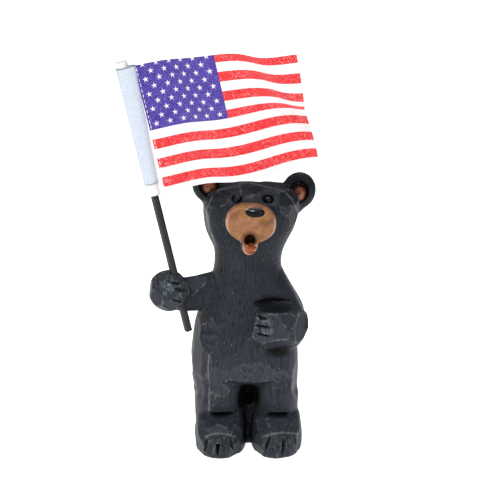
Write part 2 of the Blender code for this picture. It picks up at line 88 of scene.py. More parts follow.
# The staff, a square stick with rounded corners, through a bore in the right paw
STAFF_SIDE = 0.0032
STAFF_CORNER = 0.0007
STAFF_LEAN = math.radians(13)
STAFF_TURN = math.radians(32)
FIT_GAP = 0.0003

# The flag's cloth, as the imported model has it
HOIST = 0.0638
FLY = 0.0880
CLOTH = 0.00035
CLOTH_GRID = (220, 160)
SHEET_START = 0.0018

# The sleeve round the staff, the band sewn over it and the stitches along the band
SLEEVE_WALL = 0.0006
SLEEVE_PAST_TIP = 0.0014
SLEEVE_ABOVE = 0.0032
BAND_THICKNESS = 0.0005
BAND_ABOVE = 0.0002
BAND_FROM_BOTTOM = 0.0060
BAND_FLARE = 0.0030
BAND_GAP = 0.0001
SLEEVE_ROWS = 94
BAND_ROWS = 90
STITCH_LINE = 0.0066
STITCH_FROM_TOP = 0.0010
STITCH = 0.0021
STITCH_GAP = 0.0005
THREAD_RADII = (0.00024, 0.0002)

# The flag's waves, upper and lower, the crease at its free corner and the fold near its end
FLAG_TURN = math.radians(8.4)
WAVE_LENGTH = 0.060
WAVE_RISE = 0.021
UPPER_WAVE = 0.0046
UPPER_START = 0.025
LOWER_WAVE = 0.0057
LOWER_START = 0.0345
CREASE_DEPTH = 0.014
CREASE_AT = 0.0728
CREASE_SLANT = 0.47
CREASE_WIDTH = 0.0147
CREASE_SAG = 0.0019
LOWER_TILT = math.radians(9)
FOLD_TILT = math.radians(54)
FOLD_AT = 0.44
FOLD_SPREAD = 0.10
TILT_GROWTH = 1.6

# The print on the cloth, in millimetres
STRIPE = 4.76
PRINT_CROP = 1.1
STRIPES = 13
CANTON_STRIPES = 7
PRINT_START = 5.7
CANTON_END = 47.2
FIRST_STAR = (9.6, 0.2)
STAR_PITCH = (6.81, 3.66)
STAR_RADIUS = 1.6
STAR_TIP = math.radians(16)
STAR_EDGE = 0.06
THREAD_PAIR = 1.5

# How deep the wood's furrows are, in units
FURROW_DEPTH = 0.10

# The photo's view: its rise above level, its distance, and its middle's height along the
# picture's own upright, in metres, and on the figure's axis, in units
VIEW_RISE = math.radians(15)
VIEW_DISTANCE = 0.9
VIEW_MIDDLE = 0.0965
AIM_HEIGHT = 99.9

# The rays that tell how deep in a crevice a point lies, for the painted shade, and how far they
# reach, in units
CREVICE_RAYS = 14
CREVICE_REACH = 9.0

# Edges that turn by more than this are shown as hard creases
SHARP_FROM = math.radians(24)

# Where the paw's centre lies in the figure, the staff's axis in the paw, and along that axis
# the staff's foot below the paw and the flag's lower edge above it, in units
PAW_CENTRE = (-39.3, -13.5, 82.5)
STAFF_IN_PAW = (4.2, -2.6, 0.0)
STAFF_FOOT = -20.5
FLAG_FOOT = 50.6


def new_object(name, mesh):
    made = bpy.data.objects.new(name, mesh)
    bpy.context.scene.collection.objects.link(made)
    return made


def mesh_from(name, form):
    form.normal_update()
    mesh = bpy.data.meshes.new(name)
    form.to_mesh(mesh)
    form.free()
    return mesh


def evaluated_copy(made):
    """A plain mesh of the object with its modifiers applied."""
    graph = bpy.context.evaluated_depsgraph_get()
    return bpy.data.meshes.new_from_object(made.evaluated_get(graph))


# Lofted and rounded forms, which the bear is built up from


def smooth_rows(table, per_gap):
    """More rows than the table has, on a Catmull-Rom curve through each column."""
    table = np.array(table, float)
    padded = np.vstack([2 * table[0] - table[1], table, 2 * table[-1] - table[-2]])
    rows = []
    for i in range(len(table) - 1):
        before, start, end, after = padded[i : i + 4]
        for t in np.linspace(0, 1, per_gap, endpoint=False):
            rows.append(
                0.5
                * (
                    2 * start
                    + (end - before) * t
                    + (2 * before - 5 * start + 4 * end - after) * t**2
                    + (3 * start - before - 3 * end + after) * t**3
                )
            )
    rows.append(table[-1])
    return np.array(rows)


def add_loft(form, rings):
    """Skins a list of closed rings of points and caps both ends."""
    loops = [[form.verts.new(p) for p in ring] for ring in rings]
    count = len(loops[0])
    for low, high in zip(loops, loops[1:]):
        for i in range(count):
            j = (i + 1) % count
            form.faces.new((low[i], low[j], high[j], high[i]))
    form.faces.new(list(reversed(loops[0])))
    form.faces.new(loops[-1])


def outline(sides, power):
    """A rounded outline, 1 from its middle each way: a circle at power 1, squarer below it."""
    points = []
    for i in range(sides):
        angle = 2 * math.pi * i / sides
        x, y = math.cos(angle), math.sin(angle)
        points.append((math.copysign(abs(x) ** power, x), math.copysign(abs(y) ** power, y)))
    return points


def level_ring(height, centre, half_width, front, back, middle, squareness, sides=28):
    """A level section: half_width to each side, reaching y = front and y = back."""
    ring = []
    for x, y in outline(sides, 2 / squareness):
        reach = (back - middle) if y > 0 else (middle - front)
        ring.append(Vector((centre + half_width * x, middle + reach * y, height)))
    return ring


def add_standing_form(form, table, per_gap=3):
    """Lofts level sections, each (height, centre, half width, front, back, middle, squareness)."""
    add_loft(form, [level_ring(*row) for row in smooth_rows(table, per_gap)])


def add_ellipsoid(form, centre, radii, turn=None, detail=4):
    turned = (turn or Matrix.Identity(3)).to_4x4()
    place = Matrix.Translation(centre) @ turned @ Matrix.Diagonal((*radii, 1))
    bmesh.ops.create_icosphere(form, subdivisions=detail, radius=1, matrix=place)


def add_limb(form, stations, per_gap=4, sides=20):
    """Lofts sections square to a path.

    A station is (x, y, z, half height, half depth, squareness).
    """
    rows = smooth_rows(stations, per_gap)
    rings = []
    for i, row in enumerate(rows):
        ahead = rows[min(i + 1, len(rows) - 1)][:3] - rows[max(i - 1, 0)][:3]
        along = Vector(ahead).normalized()
        side = Vector((0, 0, 1)).cross(along).normalized()
        up = along.cross(side)
        middle = Vector(row[:3])
        half_height, half_depth, squareness = row[3:]
        rings.append(
            [
                middle + side * (half_depth * x) + up * (half_height * y)
                for x, y in outline(sides, 2 / squareness)
            ]
        )
    add_loft(form, rings)


# The bear's own form, whose numbers are all in the figure's own units

TAIL = ((-0.5, 24.5, 33.0), (4.2, 4.0, 5.6))
HEAD_CENTRE = Vector((0.9, 0, 118))
HEAD_TURN = Matrix.Rotation(math.radians(4.4), 3, "Y") @ Matrix.Rotation(
    math.radians(-6), 3, "X"
)


def on_head(x, y, z):
    """A point given from the head's centre, in the head's own tilted frame."""
    return HEAD_CENTRE + HEAD_TURN @ Vector((x, y, z))


# The face's small forms: places, radii, and the muzzle's rows as (depth, share of its size)
MUZZLE_HALF = (12.2, 9.7)
MUZZLE_SIDES = 28
MUZZLE_ROWS = ((4, 1.04), (-4, 1.02), (-9, 1.0), (-10.6, 0.95), (-11.5, 0.82))
JAW = (on_head(-0.7, -20.0, -12.0), (4.6, 6.0, 5.4))
NOSE = on_head(0.9, -27.2, 4.9)
NOSE_RADII = (5.1, 3.0, 2.5)
MOUTH = on_head(-0.5, -28.2, -9.0)
MOUTH_RADII = (2.7, 5.2, 3.1)
TONGUE = on_head(0.5, -23.4, -13.3)
TONGUE_RADII = (2.7, 4.2, 2.0)
EAR_LEAN = math.radians(14)
EAR_HOLLOW_RADII = (5.4, 3.9, 5.9)
EAR_LINING = Vector((0.3, 3.6, -1.2))
EAR_LINING_RADII = (3.4, 2.4, 3.8)

# The eyes, as (x, height) on the face, and each socket and dome, as how far out and how wide
EYES = ((-6.3, 130.2), (8.8, 129.2))
EYE_SOCKET = (2.2, 3.6)
EYE_DOME = (-0.9, 1.9)

# Hips, belly, chest, neck and skull, one above the other: height, centre, half width, front,
# back, middle and squareness
TRUNK = (
    (-3, -1.6, 23.0, -6.5, 19, 8, 3.0),
    (8, -2.0, 24.0, -8, 21, 7, 3.0),
    (18, -2.6, 25.0, -5, 23, 5, 3.0),
    (29, -2.6, 26.6, -7, 24, 3, 3.0),
    (34, -2.6, 27.0, -14.5, 24, 2, 2.9),
    (38, -2.6, 27.1, -19.6, 24, 2, 2.9),
    (48, -2.8, 27.0, -21, 23.5, 1, 2.8),
    (58, -2.7, 26.0, -20.3, 22, 0, 2.7),
    (66, -2.5, 24.6, -18.8, 20.8, 0, 2.6),
    (74, -1.7, 22.0, -17.6, 19.6, 0, 2.6),
    (82, -1.4, 19.2, -16.2, 18.3, 0, 2.5),
    (89, -1.2, 17.5, -14.8, 17, 0, 2.4),
    (95, -1.1, 16.7, -13.8, 16.5, 0, 2.4),
    (101.5, -0.6, 17.5, -14.2, 17.3, 0, 2.4),
    (107, -0.5, 19.9, -15.6, 18.5, 0, 2.5),
    (112, -0.2, 22.1, -17.2, 19.5, 0, 2.6),
    (118, 0.3, 23.5, -18.6, 20, 0, 2.6),
    (124, 0.9, 24.0, -18.8, 19.5, 0.5, 2.7),
    (129.6, 1.6, 22.6, -17.0, 16.0, 1, 2.7),
    (132.2, 1.8, 19.0, -12.0, 11.5, 1.5, 2.6),
    (133.4, 2.0, 12.5, -6.5, 7.5, 2, 2.3),
)

# A leg's and a foot's sections: height, how much narrower than the widest, front, back and
# squareness
LEG = (
    (-3, 1.5, -11, 8, 2.3),
    (12, 0.5, -13, 8, 2.2),
    (20, 0.2, -16, 8, 2.2),
    (28, 0, -18, 8, 2.2),
    (36, 1.5, -17, 8, 2.2),
    (42, 5, -12, 6, 2.2),
)
FOOT = (
    (-3, 1.2, -28.4, 10, 2.2),
    (1, 0.3, -29.6, 10, 2.2),
    (5, 0, -29.6, 10, 2.2),
    (9, 0.2, -28.0, 10, 2.3),
    (13, 0.8, -24.0, 9, 2.3),
    (16.5, 1.8, -18.0, 8, 2.3),
    (19, 4.5, -12.0, 6, 2.2),
)


def add_leg_and_foot(form, side_centre, leg_reach, foot_reach):
    """A thigh and shin that stand out of the hips, and the foot in front of them."""
    for table, reach, middle in ((LEG, leg_reach, -1), (FOOT, foot_reach, -5)):
        sections = [
            (height, side_centre, reach - less, front, back, middle, squareness)
            for height, less, front, back, squareness in table
        ]
        add_standing_form(form, sections)


def ear_lean(side):
    """How an ear is turned, with the head and outwards."""
    return HEAD_TURN @ Matrix.Rotation(EAR_LEAN * side, 3, "Y")


def add_ear(form, side):
    """A thick round ear; side is -1 for the bear's right one and 1 for its left."""
    add_ellipsoid(form, on_head(22.3 * side, 2.0, 13.4), (8.6, 4.6, 9.6), ear_lean(side))
    add_ellipsoid(form, on_head(18.3 * side, 2.0, 9.0), (8.4, 5.0, 8.6), ear_lean(side))


def add_muzzle(form):
    """The blunt snout, flat in front, with the nose on its upper edge and the jaw below."""
    rings = []
    for y, share in MUZZLE_ROWS:
        ring = []
        for i, (across, rise) in enumerate(outline(MUZZLE_SIDES, 0.83)):
            taper = 1 - 0.34 * max(0, -math.sin(2 * math.pi * i / MUZZLE_SIDES)) ** 2
            x = MUZZLE_HALF[0] * share * taper * across
            z = MUZZLE_HALF[1] * share * rise
            ring.append(on_head(-0.6 + x, -17 + y, -1.2 + z))
        rings.append(ring)
    add_loft(form, rings)
    add_ellipsoid(form, NOSE, NOSE_RADII, HEAD_TURN)
    add_ellipsoid(form, *JAW, HEAD_TURN @ Matrix.Rotation(math.radians(-24), 3, "X"))


# The arms' paths, as add_limb takes them, and the upper arm's level sections
RAISED_ARM = (
    (-6, 0, 79.8, 10.0, 9.0, 2.4),
    (-17, -1.5, 79.3, 9.6, 8.6, 2.4),
    (-26, -5.0, 78.9, 8.8, 7.6, 2.5),
    (-34, -9.5, 79.5, 8.4, 6.8, 2.5),
    (-40, -12, 81.0, 7.0, 6.0, 2.4),
)
UPPER_ARM = (
    (93, 7.5, 7.5, -9, 9, 0, 2.3),
    (86, 10.2, 8.4, -12, 9, 0, 2.4),
    (80, 12.8, 9.2, -14.5, 9, 0, 2.5),
    (73, 16.6, 9.8, -17, 9, -2, 2.6),
    (66, 18.2, 9.8, -19, 8, -4, 2.7),
    (59, 18.0, 9.8, -19, 7, -5, 2.7),
    (54, 16.8, 8.6, -17, 5, -5, 2.6),
    (51, 15.6, 5.6, -13, 2, -5, 2.4),
)
FOREARM = (
    (24.4, -9, 65.0, 6.6, 6.4, 2.8),
    (21.2, -13, 65.2, 9.0, 8.6, 3.2),
    (14.0, -16.5, 65.4, 9.6, 9.5, 3.4),
    (5.6, -18.5, 66.2, 9.0, 7.2, 3.0),
    (1.4, -19.0, 67.0, 7.0, 5.6, 2.4),
)


def add_raised_arm(form):
    """The bear's right arm, held out, and the fist round the staff."""
    add_limb(form, RAISED_ARM)
    add_ellipsoid(form, Vector(PAW_CENTRE) + Vector((-0.8, 0, 0.2)), (10.2, 9.6, 10.5))
    add_ellipsoid(form, Vector(PAW_CENTRE) + Vector((2.6, -3.6, 1.2)), (7.2, 6.6, 7.8))


def add_folded_arm(form):
    """The bear's left arm: a sloping shoulder, the elbow and the forearm across the belly."""
    add_standing_form(form, UPPER_ARM)
    add_limb(form, FOREARM)


def bear_form():
    """All of the bear's masses, overlapping, at its real size."""
    form = bmesh.new()
    add_standing_form(form, TRUNK)
    add_leg_and_foot(form, -15.0, 13.4, 13.2)
    add_leg_and_foot(form, 13.4, 11.2, 13.2)
    for side in (-1, 1):
        add_ear(form, side)
    add_muzzle(form)
    add_raised_arm(form)
    add_folded_arm(form)
    add_ellipsoid(form, *TAIL)
    bmesh.ops.scale(form, vec=(UNIT, UNIT, UNIT), verts=form.verts)
    return form


# Knife work on the bear


# Broad cuts that show from a step away: place, direction outwards, reach and depth, in units
BROAD_CUTS = (
    ((-25.6, -12.4, 43.0), (-0.86, -0.51, 0.0), (9, 9, 27), 0.0),
    ((23.2, -12.0, 35.0), (0.86, -0.51, 0.0), (8, 8, 17), 0.0),
    ((1.5, -21.0, 43.5), (0.05, -0.97, -0.24), (15, 8, 9), 1.1),
    ((15.5, -18.5, 41.5), (0.40, -0.86, -0.32), (11, 8, 9), 0.9),
    ((-15.0, -18.8, 38.0), (-0.25, -0.92, -0.30), (11, 8, 9), 0.9),
    ((-18.0, -13.0, 126.0), (-0.55, -0.55, 0.63), (9, 9, 9), 0.5),
    ((19.5, -12.0, 127.0), (0.50, -0.55, 0.67), (9, 9, 9), 0.5),
    ((9.0, -12.5, 131.0), (0.10, -0.60, 0.80), (17, 7, 6), 0.5),
    ((-21.8, -10.0, 113.0), (-0.88, -0.47, -0.05), (8, 9, 14), 0.5),
    ((21.2, -10.0, 113.0), (0.88, -0.47, -0.05), (8, 9, 14), 0.5),
    ((-25.0, -10.6, 85.4), (-0.12, -0.62, 0.78), (11, 7, 7), 0.9),
    ((14.0, -25.9, 65.5), (0.05, -1.0, 0.05), (13, 8, 10), 0.8),
    ((15.0, -24.0, 57.8), (0.10, -0.62, -0.78), (13, 8, 7), 1.4),
    ((26.0, -16.5, 64.0), (0.78, -0.62, 0.0), (7, 8, 10), 0.8),
)

# Which of those cuts are painted lightest, as painted light on the facets that catch it, counted
# from 1
PAINTED_LIT_CUTS = (3, 4, 5, 11)


def read_points(mesh):
    """The mesh's points and their outward directions, in units."""
    count = len(mesh.vertices)
    points, normals = np.empty(count * 3), np.empty(count * 3)
    mesh.vertices.foreach_get("co", points)
    mesh.vertex_normals.foreach_get("vector", normals)
    return points.reshape(-1, 3) / UNIT, normals.reshape(-1, 3)


def write_points(mesh, points):
    mesh.vertices.foreach_set("co", (points * UNIT).ravel())
    mesh.update()


def facet_size(place):
    on_trunk = 22 < place[2] < 131 and abs(place[0]) < 26
    return BROAD_FACET if on_trunk else SMALL_FACET


def on_fist(place):
    return place[0] < -30


def left_smooth(place):
    """The body's front and the ears, which have no cuts but the broad ones."""
    x, y, z = place
    on_front = -20 < x < 21 and y < 0 and 22 < z < 113
    on_folded_arm = x > 0 and 50 < z < 78
    return (on_front and not on_folded_arm) or (abs(x) > 17 and z > 124)


def facet_seeds(surface):
    """Places spread over the figure, each with its outward direction and its facet's size."""
    chance = np.random.default_rng(CARVING_SEED)
    tries = chance.uniform((-52, -32, 0), (36, 30, 143), (FACET_TRIES, 3))
    snout = on_head(0, -26, 0)
    seeds, taken = [], np.empty((0, 3))
    for trial in tries:
        place, out, _, _ = surface.find_nearest(Vector(trial) * UNIT)
        place = np.array(place) / UNIT
        if place[2] < 1 or left_smooth(place) or np.linalg.norm(place - snout) < 14:
            continue
        size = facet_size(place)
        if len(taken) and np.linalg.norm(taken - place, axis=1).min() < size:
            continue
        taken = np.vstack([taken, place])
        seeds.append((place, np.array(out), size))
    return seeds


def cut_flat(points, normals, place, out, reach, depth, most):
    """Trims what stands above a plane under a place, less near the rim. Gives what it moved."""
    away = points - place
    share = np.linalg.norm(away / reach, axis=1)
    near = (share < 1) & (normals @ out > 0.3)
    above = away[near] @ out + depth
    fade = np.clip((1 - share[near]) / 0.3, 0, 1)
    trimmed = np.clip(above, 0, most) * fade
    points[near] -= trimmed[:, None] * out
    return np.flatnonzero(near)[trimmed > 0.03]


def carve(mesh, surface):
    """The broad cuts first, then small flat facets all over. Gives each point's last cut."""
    points, normals = read_points(mesh)
    last_cut = np.zeros(len(points), int)
    for number, (place, out, reach, depth) in enumerate(BROAD_CUTS, 1):
        cut = map(np.array, (place, out, reach))
        moved = cut_flat(points, normals, *cut, depth, 4)
        last_cut[moved] = number
    chance = np.random.default_rng(CARVING_SEED)
    for number, (place, out, size) in enumerate(facet_seeds(surface), len(BROAD_CUTS) + 1):
        depth = FACET_DEPTH * size * chance.uniform(0.6, 1.3)
        if on_fist(place):
            depth *= FIST_DEPTH
        out = out + chance.normal(0, FACET_TILT, 3)
        out /= np.linalg.norm(out)
        reach = 1.15 * size
        away = points - place
        near = (np.linalg.norm(away, axis=1) < reach) & (normals @ out > 0.3)
        height = away[near] @ out
        if len(height) and height.max() < 0.16 * size and height.mean() < 0:
            last_cut[cut_flat(points, normals, place, out, reach, depth, 0.2 * size)] = number
    write_points(mesh, points)
    return last_cut


def surface_point(surface, x, z):
    """The point and the outward direction of the bear's front at (x, z), in units."""
    start = Vector((x, -60, z)) * UNIT
    place, normal, _, _ = surface.ray_cast(start, Vector((0, 1, 0)))
    return place / UNIT, normal


def add_groove(form, surface, start, end, width, depth):
    """A pointed V-cut from one front point (x, z) to another."""
    first, first_out = surface_point(surface, *start)
    last, last_out = surface_point(surface, *end)
    middle, middle_out = surface_point(
        surface, (start[0] + end[0]) / 2, (start[1] + end[1]) / 2
    )
    out = (first_out + last_out + middle_out).normalized()
    side = (last - first).cross(out).normalized()
    lift = 0.8
    corners = [first + first_out * 0.2, last + last_out * 0.2]
    corners += [first + out * lift, last + out * lift]
    for place in (first.lerp(middle, 0.5), middle, last.lerp(middle, 0.5)):
        half = width * 0.5 * (1 + lift / depth)
        corners.append(place + out * lift + side * half)
        corners.append(place + out * lift - side * half)
        corners.append(place - out * depth)
    points = [form.verts.new(corner) for corner in corners]
    hull = bmesh.ops.convex_hull(form, input=points)
    spare = set(hull["geom_interior"]) | set(hull["geom_unused"])
    bmesh.ops.delete(form, geom=list(spare), context="VERTS")


# The cuts between toes, about each foot's centre, and between fingers, as (x, height)
TOE_GROOVES = (
    (-14.7, ((-6.3, 9.8), (-8.2, 1.2)), ((-1.0, 10.4), (-1.5, 1.0)), ((4.4, 10.2), (6.6, 2.6))),
    (13.2, ((-3.1, 11.2), (-5.8, 2.8)), ((3.6, 10.6), (3.0, 1.0)), ((8.8, 9.6), (10.0, 3.4))),
)
RAISED_FINGERS = (
    ((-40.7, 89.4), (-33.6, 88.2)),
    ((-37.8, 86.6), (-30.6, 84.2)),
    ((-38.4, 80.9), (-32.8, 78.6)),
)
FOLDED_FINGERS = (
    ((2.8, 72.2), (9.0, 70.9)),
    ((2.2, 68.0), (10.4, 66.8)),
    ((2.4, 63.8), (10.4, 62.4)),
)

# The hollow of the fork, the ankles' creases and the gap above the forearm: centre and radii
BODY_HOLLOWS = (
    ((-0.9, -12.0, 26.0), (5.0, 13.0, 7.5)),
    ((-13.4, -17.6, 18.4), (8.4, 5.6, 1.7)),
    ((14.6, -17.6, 18.2), (8.4, 5.6, 1.7)),
    ((13.5, -21.0, 77.0), (13.5, 9.0, 3.2)),
)

# Hollows that painted shade leaves near black, under and between the masses: centre, radii and how
# softly it fades, in units
PAINTED_SHADE_HOLLOWS = (
    ((-0.9, -12.0, 26.0), (8.0, 13.0, 11.5), 4.0),
    ((13.0, -19.0, 77.5), (18.0, 11.0, 6.0), 4.5),
    ((14.0, -17.0, 52.5), (14.0, 7.0, 5.5), 4.5),
)

# The face's paints where they reach past the forms, among them the mouth's painted shade, the
# eyes' black rings and the painted shade at the top of the ears' hollows
MUZZLE_PAINT_HALF = (12.4, 9.9)
JAW_PAINT = (on_head(0.1, -24.5, -12.4), (4.0, 5.0, 5.3))
TONGUE_PAINT = (on_head(0.4, -24.4, -13.4), (3.1, 4.8, 2.9))
NOSE_PAINT_RADII = (5.2, 3.4, 2.6)
MOUTH_PAINT_RADII = (3.0, 6.6, 3.4)
EYE_RING = (0.4, 3.1)
EAR_SHADE_RADII = (6.2, 4.4, 6.8)
PAINT_MARGIN = 0.3

# Places where the black is glossy, with a paler bluish sheen painted on: centre and radii, in
# units
GLOSS_AND_SHEEN_PLACES = (
    (on_head(-0.8, -18.0, 12.0), (5.6, 6.0, 3.0)),
    (Vector((-40.5, -22.0, 87.5)), (4.6, 6.0, 5.4)),
    (Vector((8.5, -27.0, 68.0)), (4.0, 6.0, 6.0)),
)


def add_grooves(form, surface):
    """The cuts between toes and between fingers."""
    for centre, *grooves in TOE_GROOVES:
        for (top, high), (foot, low) in grooves:
            add_groove(form, surface, (centre + top, high), (centre + foot, low), 1.5, 1.7)
    for start, end in RAISED_FINGERS:
        add_groove(form, surface, start, end, 1.9, 1.3)
    for start, end in FOLDED_FINGERS:
        add_groove(form, surface, start, end, 1.5, 1.6)


def on_ears():
    """The middle of each ear's hollow and that ear's own lean."""
    for side in (-1, 1):
        yield on_head(22.5 * side, -3.4, 13.2), ear_lean(side)


def on_eyes(surface, ball):
    """Each eye's ball, given as how far out it lies and how wide it is, as (middle, radius)."""
    out_by, radius = ball
    for x, z in EYES:
        place, out = surface_point(surface, x, z)
        yield place + out * out_by, radius


def add_hollows(form, surface):
    """What is hollowed out: ears, eyes' rings, mouth, fork, ankles and the gap over the arm."""
    for middle, lean in on_ears():
        add_ellipsoid(form, middle, EAR_HOLLOW_RADII, lean, 3)
    for middle, radius in on_eyes(surface, EYE_SOCKET):
        add_ellipsoid(form, middle, (radius,) * 3, detail=3)
    add_ellipsoid(form, MOUTH, MOUTH_RADII, HEAD_TURN, 3)
    for centre, radii in BODY_HOLLOWS:
        add_ellipsoid(form, centre, radii, detail=3)


def add_inlays(form, surface):
    """What stands in the hollows: the ears' linings, the eyes and the tongue."""
    for middle, lean in on_ears():
        add_ellipsoid(form, middle + lean @ EAR_LINING, EAR_LINING_RADII, lean, 3)
    for middle, radius in on_eyes(surface, EYE_DOME):
        add_ellipsoid(form, middle, (radius,) * 3, detail=3)
    add_ellipsoid(form, TONGUE, TONGUE_RADII, HEAD_TURN, 3)


def staff_frame():
    """Where the staff's axis passes the paw, its direction upwards and the flag's direction."""
    paw = (Vector(PAW_CENTRE) + Vector(STAFF_IN_PAW)) * UNIT
    up = Vector((-math.sin(STAFF_LEAN), 0, math.cos(STAFF_LEAN)))
    fly = Vector((math.cos(STAFF_LEAN), 0, math.sin(STAFF_LEAN)))
    return paw, up, fly


def staff_section(grow):
    """The staff's rounded square, in (fly, depth) about its axis, grown all round."""
    reach = STAFF_SIDE / 2 - STAFF_CORNER
    radius = STAFF_CORNER + grow
    points = []
    for quarter in range(4):
        for step in range(4):
            angle = math.pi / 2 * (quarter + step / 3)
            corner = math.pi / 4 + math.pi / 2 * quarter
            x = reach * math.sqrt(2) * math.cos(corner) + radius * math.cos(angle)
            y = reach * math.sqrt(2) * math.sin(corner) + radius * math.sin(angle)
            points.append(Matrix.Rotation(STAFF_TURN, 2) @ Vector((x, y)))
    return points


def add_along_staff(form, sections):
    """Lofts sections, each (distance above the paw, points in (fly, depth))."""
    paw, up, fly = staff_frame()
    back = Vector((0, 1, 0))
    rings = []
    for height, section in sections:
        rings.append([paw + up * height + fly * x + back * y for x, y in section])
    add_loft(form, rings)


# The carved figure


def helper(name, form):
    """A cutter or an addition that only serves a Boolean."""
    bmesh.ops.recalc_face_normals(form, faces=form.faces)
    return new_object(name, mesh_from(name, form))


def boolean(made, name, other, operation):
    modifier = made.modifiers.new(name, "BOOLEAN")
    modifier.solver = "MANIFOLD"
    modifier.operation = operation
    modifier.object = other


def staff_bore(low, high):
    """A cutter for the staff's own section and its clearance."""
    form = bmesh.new()
    add_along_staff(form, [(low, staff_section(FIT_GAP)), (high, staff_section(FIT_GAP))])
    return helper("staff_bore", form)


def furrow(mesh):
    """The original wood's long grain, pressed into the cast surface."""
    points, normals = read_points(mesh)
    for i, (x, y, z) in enumerate(points):
        grain = noise.noise(Vector((x * 0.8, y * 0.8, z * 0.05)))
        points[i] -= normals[i] * (FURROW_DEPTH * max(0, grain - 0.1))
    write_points(mesh, points)


def store(mesh, name, values):
    """Keeps one number for each point, for the materials to read."""
    layer = mesh.attributes.new(name, "FLOAT", "POINT")
    layer.data.foreach_set("value", np.asarray(values, np.float32))


def inside(points, centre, radii, turn=None):
    """How far inside an ellipsoid each point lies, in units."""
    local = (points - np.array(centre)) @ np.array(turn or Matrix.Identity(3))
    return (1 - np.linalg.norm(local / np.array(radii), axis=1)) * min(radii)


def edge_ends(mesh):
    ends = np.empty(len(mesh.edges) * 2, np.int32)
    mesh.edges.foreach_get("vertices", ends)
    return ends.reshape(-1, 2).T


def gathered(first, last, at_first, at_last, count):
    """What each point's edges bring to their first and last ends, added up."""
    return np.bincount(first, at_first, count) + np.bincount(last, at_last, count)


def spread(values, first, last, times):
    """Averages each point's number with its neighbours' numbers."""
    count = gathered(first, last, None, None, len(values))
    for _ in range(times):
        total = gathered(first, last, values[last], values[first], len(values))
        values = (values + total / np.maximum(count, 1)) / 2
    return values


def cut_marks(points, first, last, old_points, last_cut):
    """Each point's cut, as a tone of its own, lightest on the cuts painted as lit, and the lines
    where two cuts meet in a ridge.
    """
    tree = KDTree(len(old_points))
    for i, point in enumerate(old_points):
        tree.insert(point, i)
    tree.balance()
    cut = last_cut[[tree.find(point)[1] for point in points]]
    tones = np.random.default_rng(CARVING_SEED).uniform(0, 1, cut.max() + 1)
    # Painted light: the lit cuts get the lightest tone
    tones[list(PAINTED_LIT_CUTS)] = 0.85
    tone = tones[cut]
    meets = (cut[first] != cut[last]).astype(float)
    line = gathered(first, last, meets, meets, len(points))
    return spread(tone, first, last, 1), spread(np.minimum(line, 1), first, last, 1)


def convexity(points, normals, first, last):
    """How far each point stands out from its neighbours, as the sine of the turn there."""
    along = points[last] - points[first]
    along /= np.maximum(np.linalg.norm(along, axis=1), 1e-6)[:, None]
    turn = ((normals[last] - normals[first]) * along).sum(1)
    total = gathered(first, last, turn, turn, len(points))
    count = gathered(first, last, None, None, len(points))
    return total / np.maximum(count, 1)


def crevices(points, normals, surface):
    """The share of short rays from each point that the figure stops: high in its crevices."""
    spread_out = []
    for i in range(CREVICE_RAYS):
        lift = 0.15 + 0.8 * (i + 0.5) / CREVICE_RAYS
        turn = i * math.pi * (3 - math.sqrt(5))
        flat = math.sqrt(1 - lift * lift)
        spread_out.append(Vector((flat * math.cos(turn), flat * math.sin(turn), lift)))
    stopped = np.zeros(len(points))
    reach = CREVICE_REACH * UNIT
    for i, (point, normal) in enumerate(zip(points, normals)):
        out = Vector(normal)
        start = (Vector(point) + out * 0.25) * UNIT
        turn = out.to_track_quat("Z", "Y")
        for ray in spread_out:
            if surface.ray_cast(start, turn @ ray, reach)[0]:
                stopped[i] += 1
    return stopped / CREVICE_RAYS


# Ridges that the dry brush caught on the front, as places in the photo's view: across and
# above the point that the camera looks at, in units
KNIFE_RIDGES = (
    ((-4.1, 33.6), (-5.6, 31.6), (-15.2, 29.4), (-18.7, 26.0), (-21.8, 18.1)),
    ((-21.8, 18.1), (-20.1, 11.0), (-17.0, 2.5)),
    ((-4.7, 33.3), (-0.3, 33.3), (11.9, 29.9), (17.2, 28.5), (20.6, 24.6), (23.7, 18.5)),
    ((-5.4, 32.8), (-4.3, 27.6)),
    ((-20.2, -52.0), (-21.0, -60.0), (-20.3, -68.0), (-20.7, -81.0)),
    ((-22.4, -93.4), (-19.0, -92.0), (-15.9, -91.6), (-11.0, -92.0), (-7.5, -93.4)),
    ((8.0, -93.0), (12.0, -91.6), (16.4, -91.2), (21.0, -91.6), (24.0, -92.8)),
)


def from_ridges(points, normals):
    """The distance, as seen from the front, to the nearest ridge line."""
    height = points[:, 2] - AIM_HEIGHT
    seen = np.stack(
        [points[:, 0], height * math.cos(VIEW_RISE) + points[:, 1] * math.sin(VIEW_RISE)],
        axis=1,
    )
    nearest = np.full(len(points), 9.0)
    for line in KNIFE_RIDGES:
        for start, end in zip(line, line[1:]):
            start, along = np.array(start), np.subtract(end, start)
            share = np.clip((seen - start) @ along / (along @ along), 0, 1)
            away = np.linalg.norm(seen - start - share[:, None] * along, axis=1)
            nearest = np.minimum(nearest, away)
    return np.where(normals[:, 1] < 0.2, nearest, 9.0)


def mark_knife_work(mesh, points, normals, old_points, last_cut):
    """The ridges and cuts that the dry brush brings out, the cuts' own tones with painted light on
    the lit ones, and a paler brownish band on the side facing the bear's right.
    """
    first, last = edge_ends(mesh)
    ridge = convexity(points, normals, first, last)
    store(mesh, "ridge", spread(ridge, first, last, 1))
    store(mesh, "broad_ridge", spread(ridge, first, last, 14))
    store(mesh, "knife_ridge", from_ridges(points, normals))
    tone, line = cut_marks(points, first, last, old_points, last_cut)
    store(mesh, "cut_tone_and_painted_light", tone)
    store(mesh, "cut_line", line * np.clip(spread(ridge, first, last, 3) * 12 + 0.25, 0, 1))
    # A paler brownish band on the side that faces the bear's right
    worn = np.minimum(-normals[:, 0] * 1.6 - 0.75, (points[:, 2] - 12) / 12)
    store(mesh, "pale_right_side", np.clip(worn, 0, 1) * (np.abs(points[:, 0]) < 32))


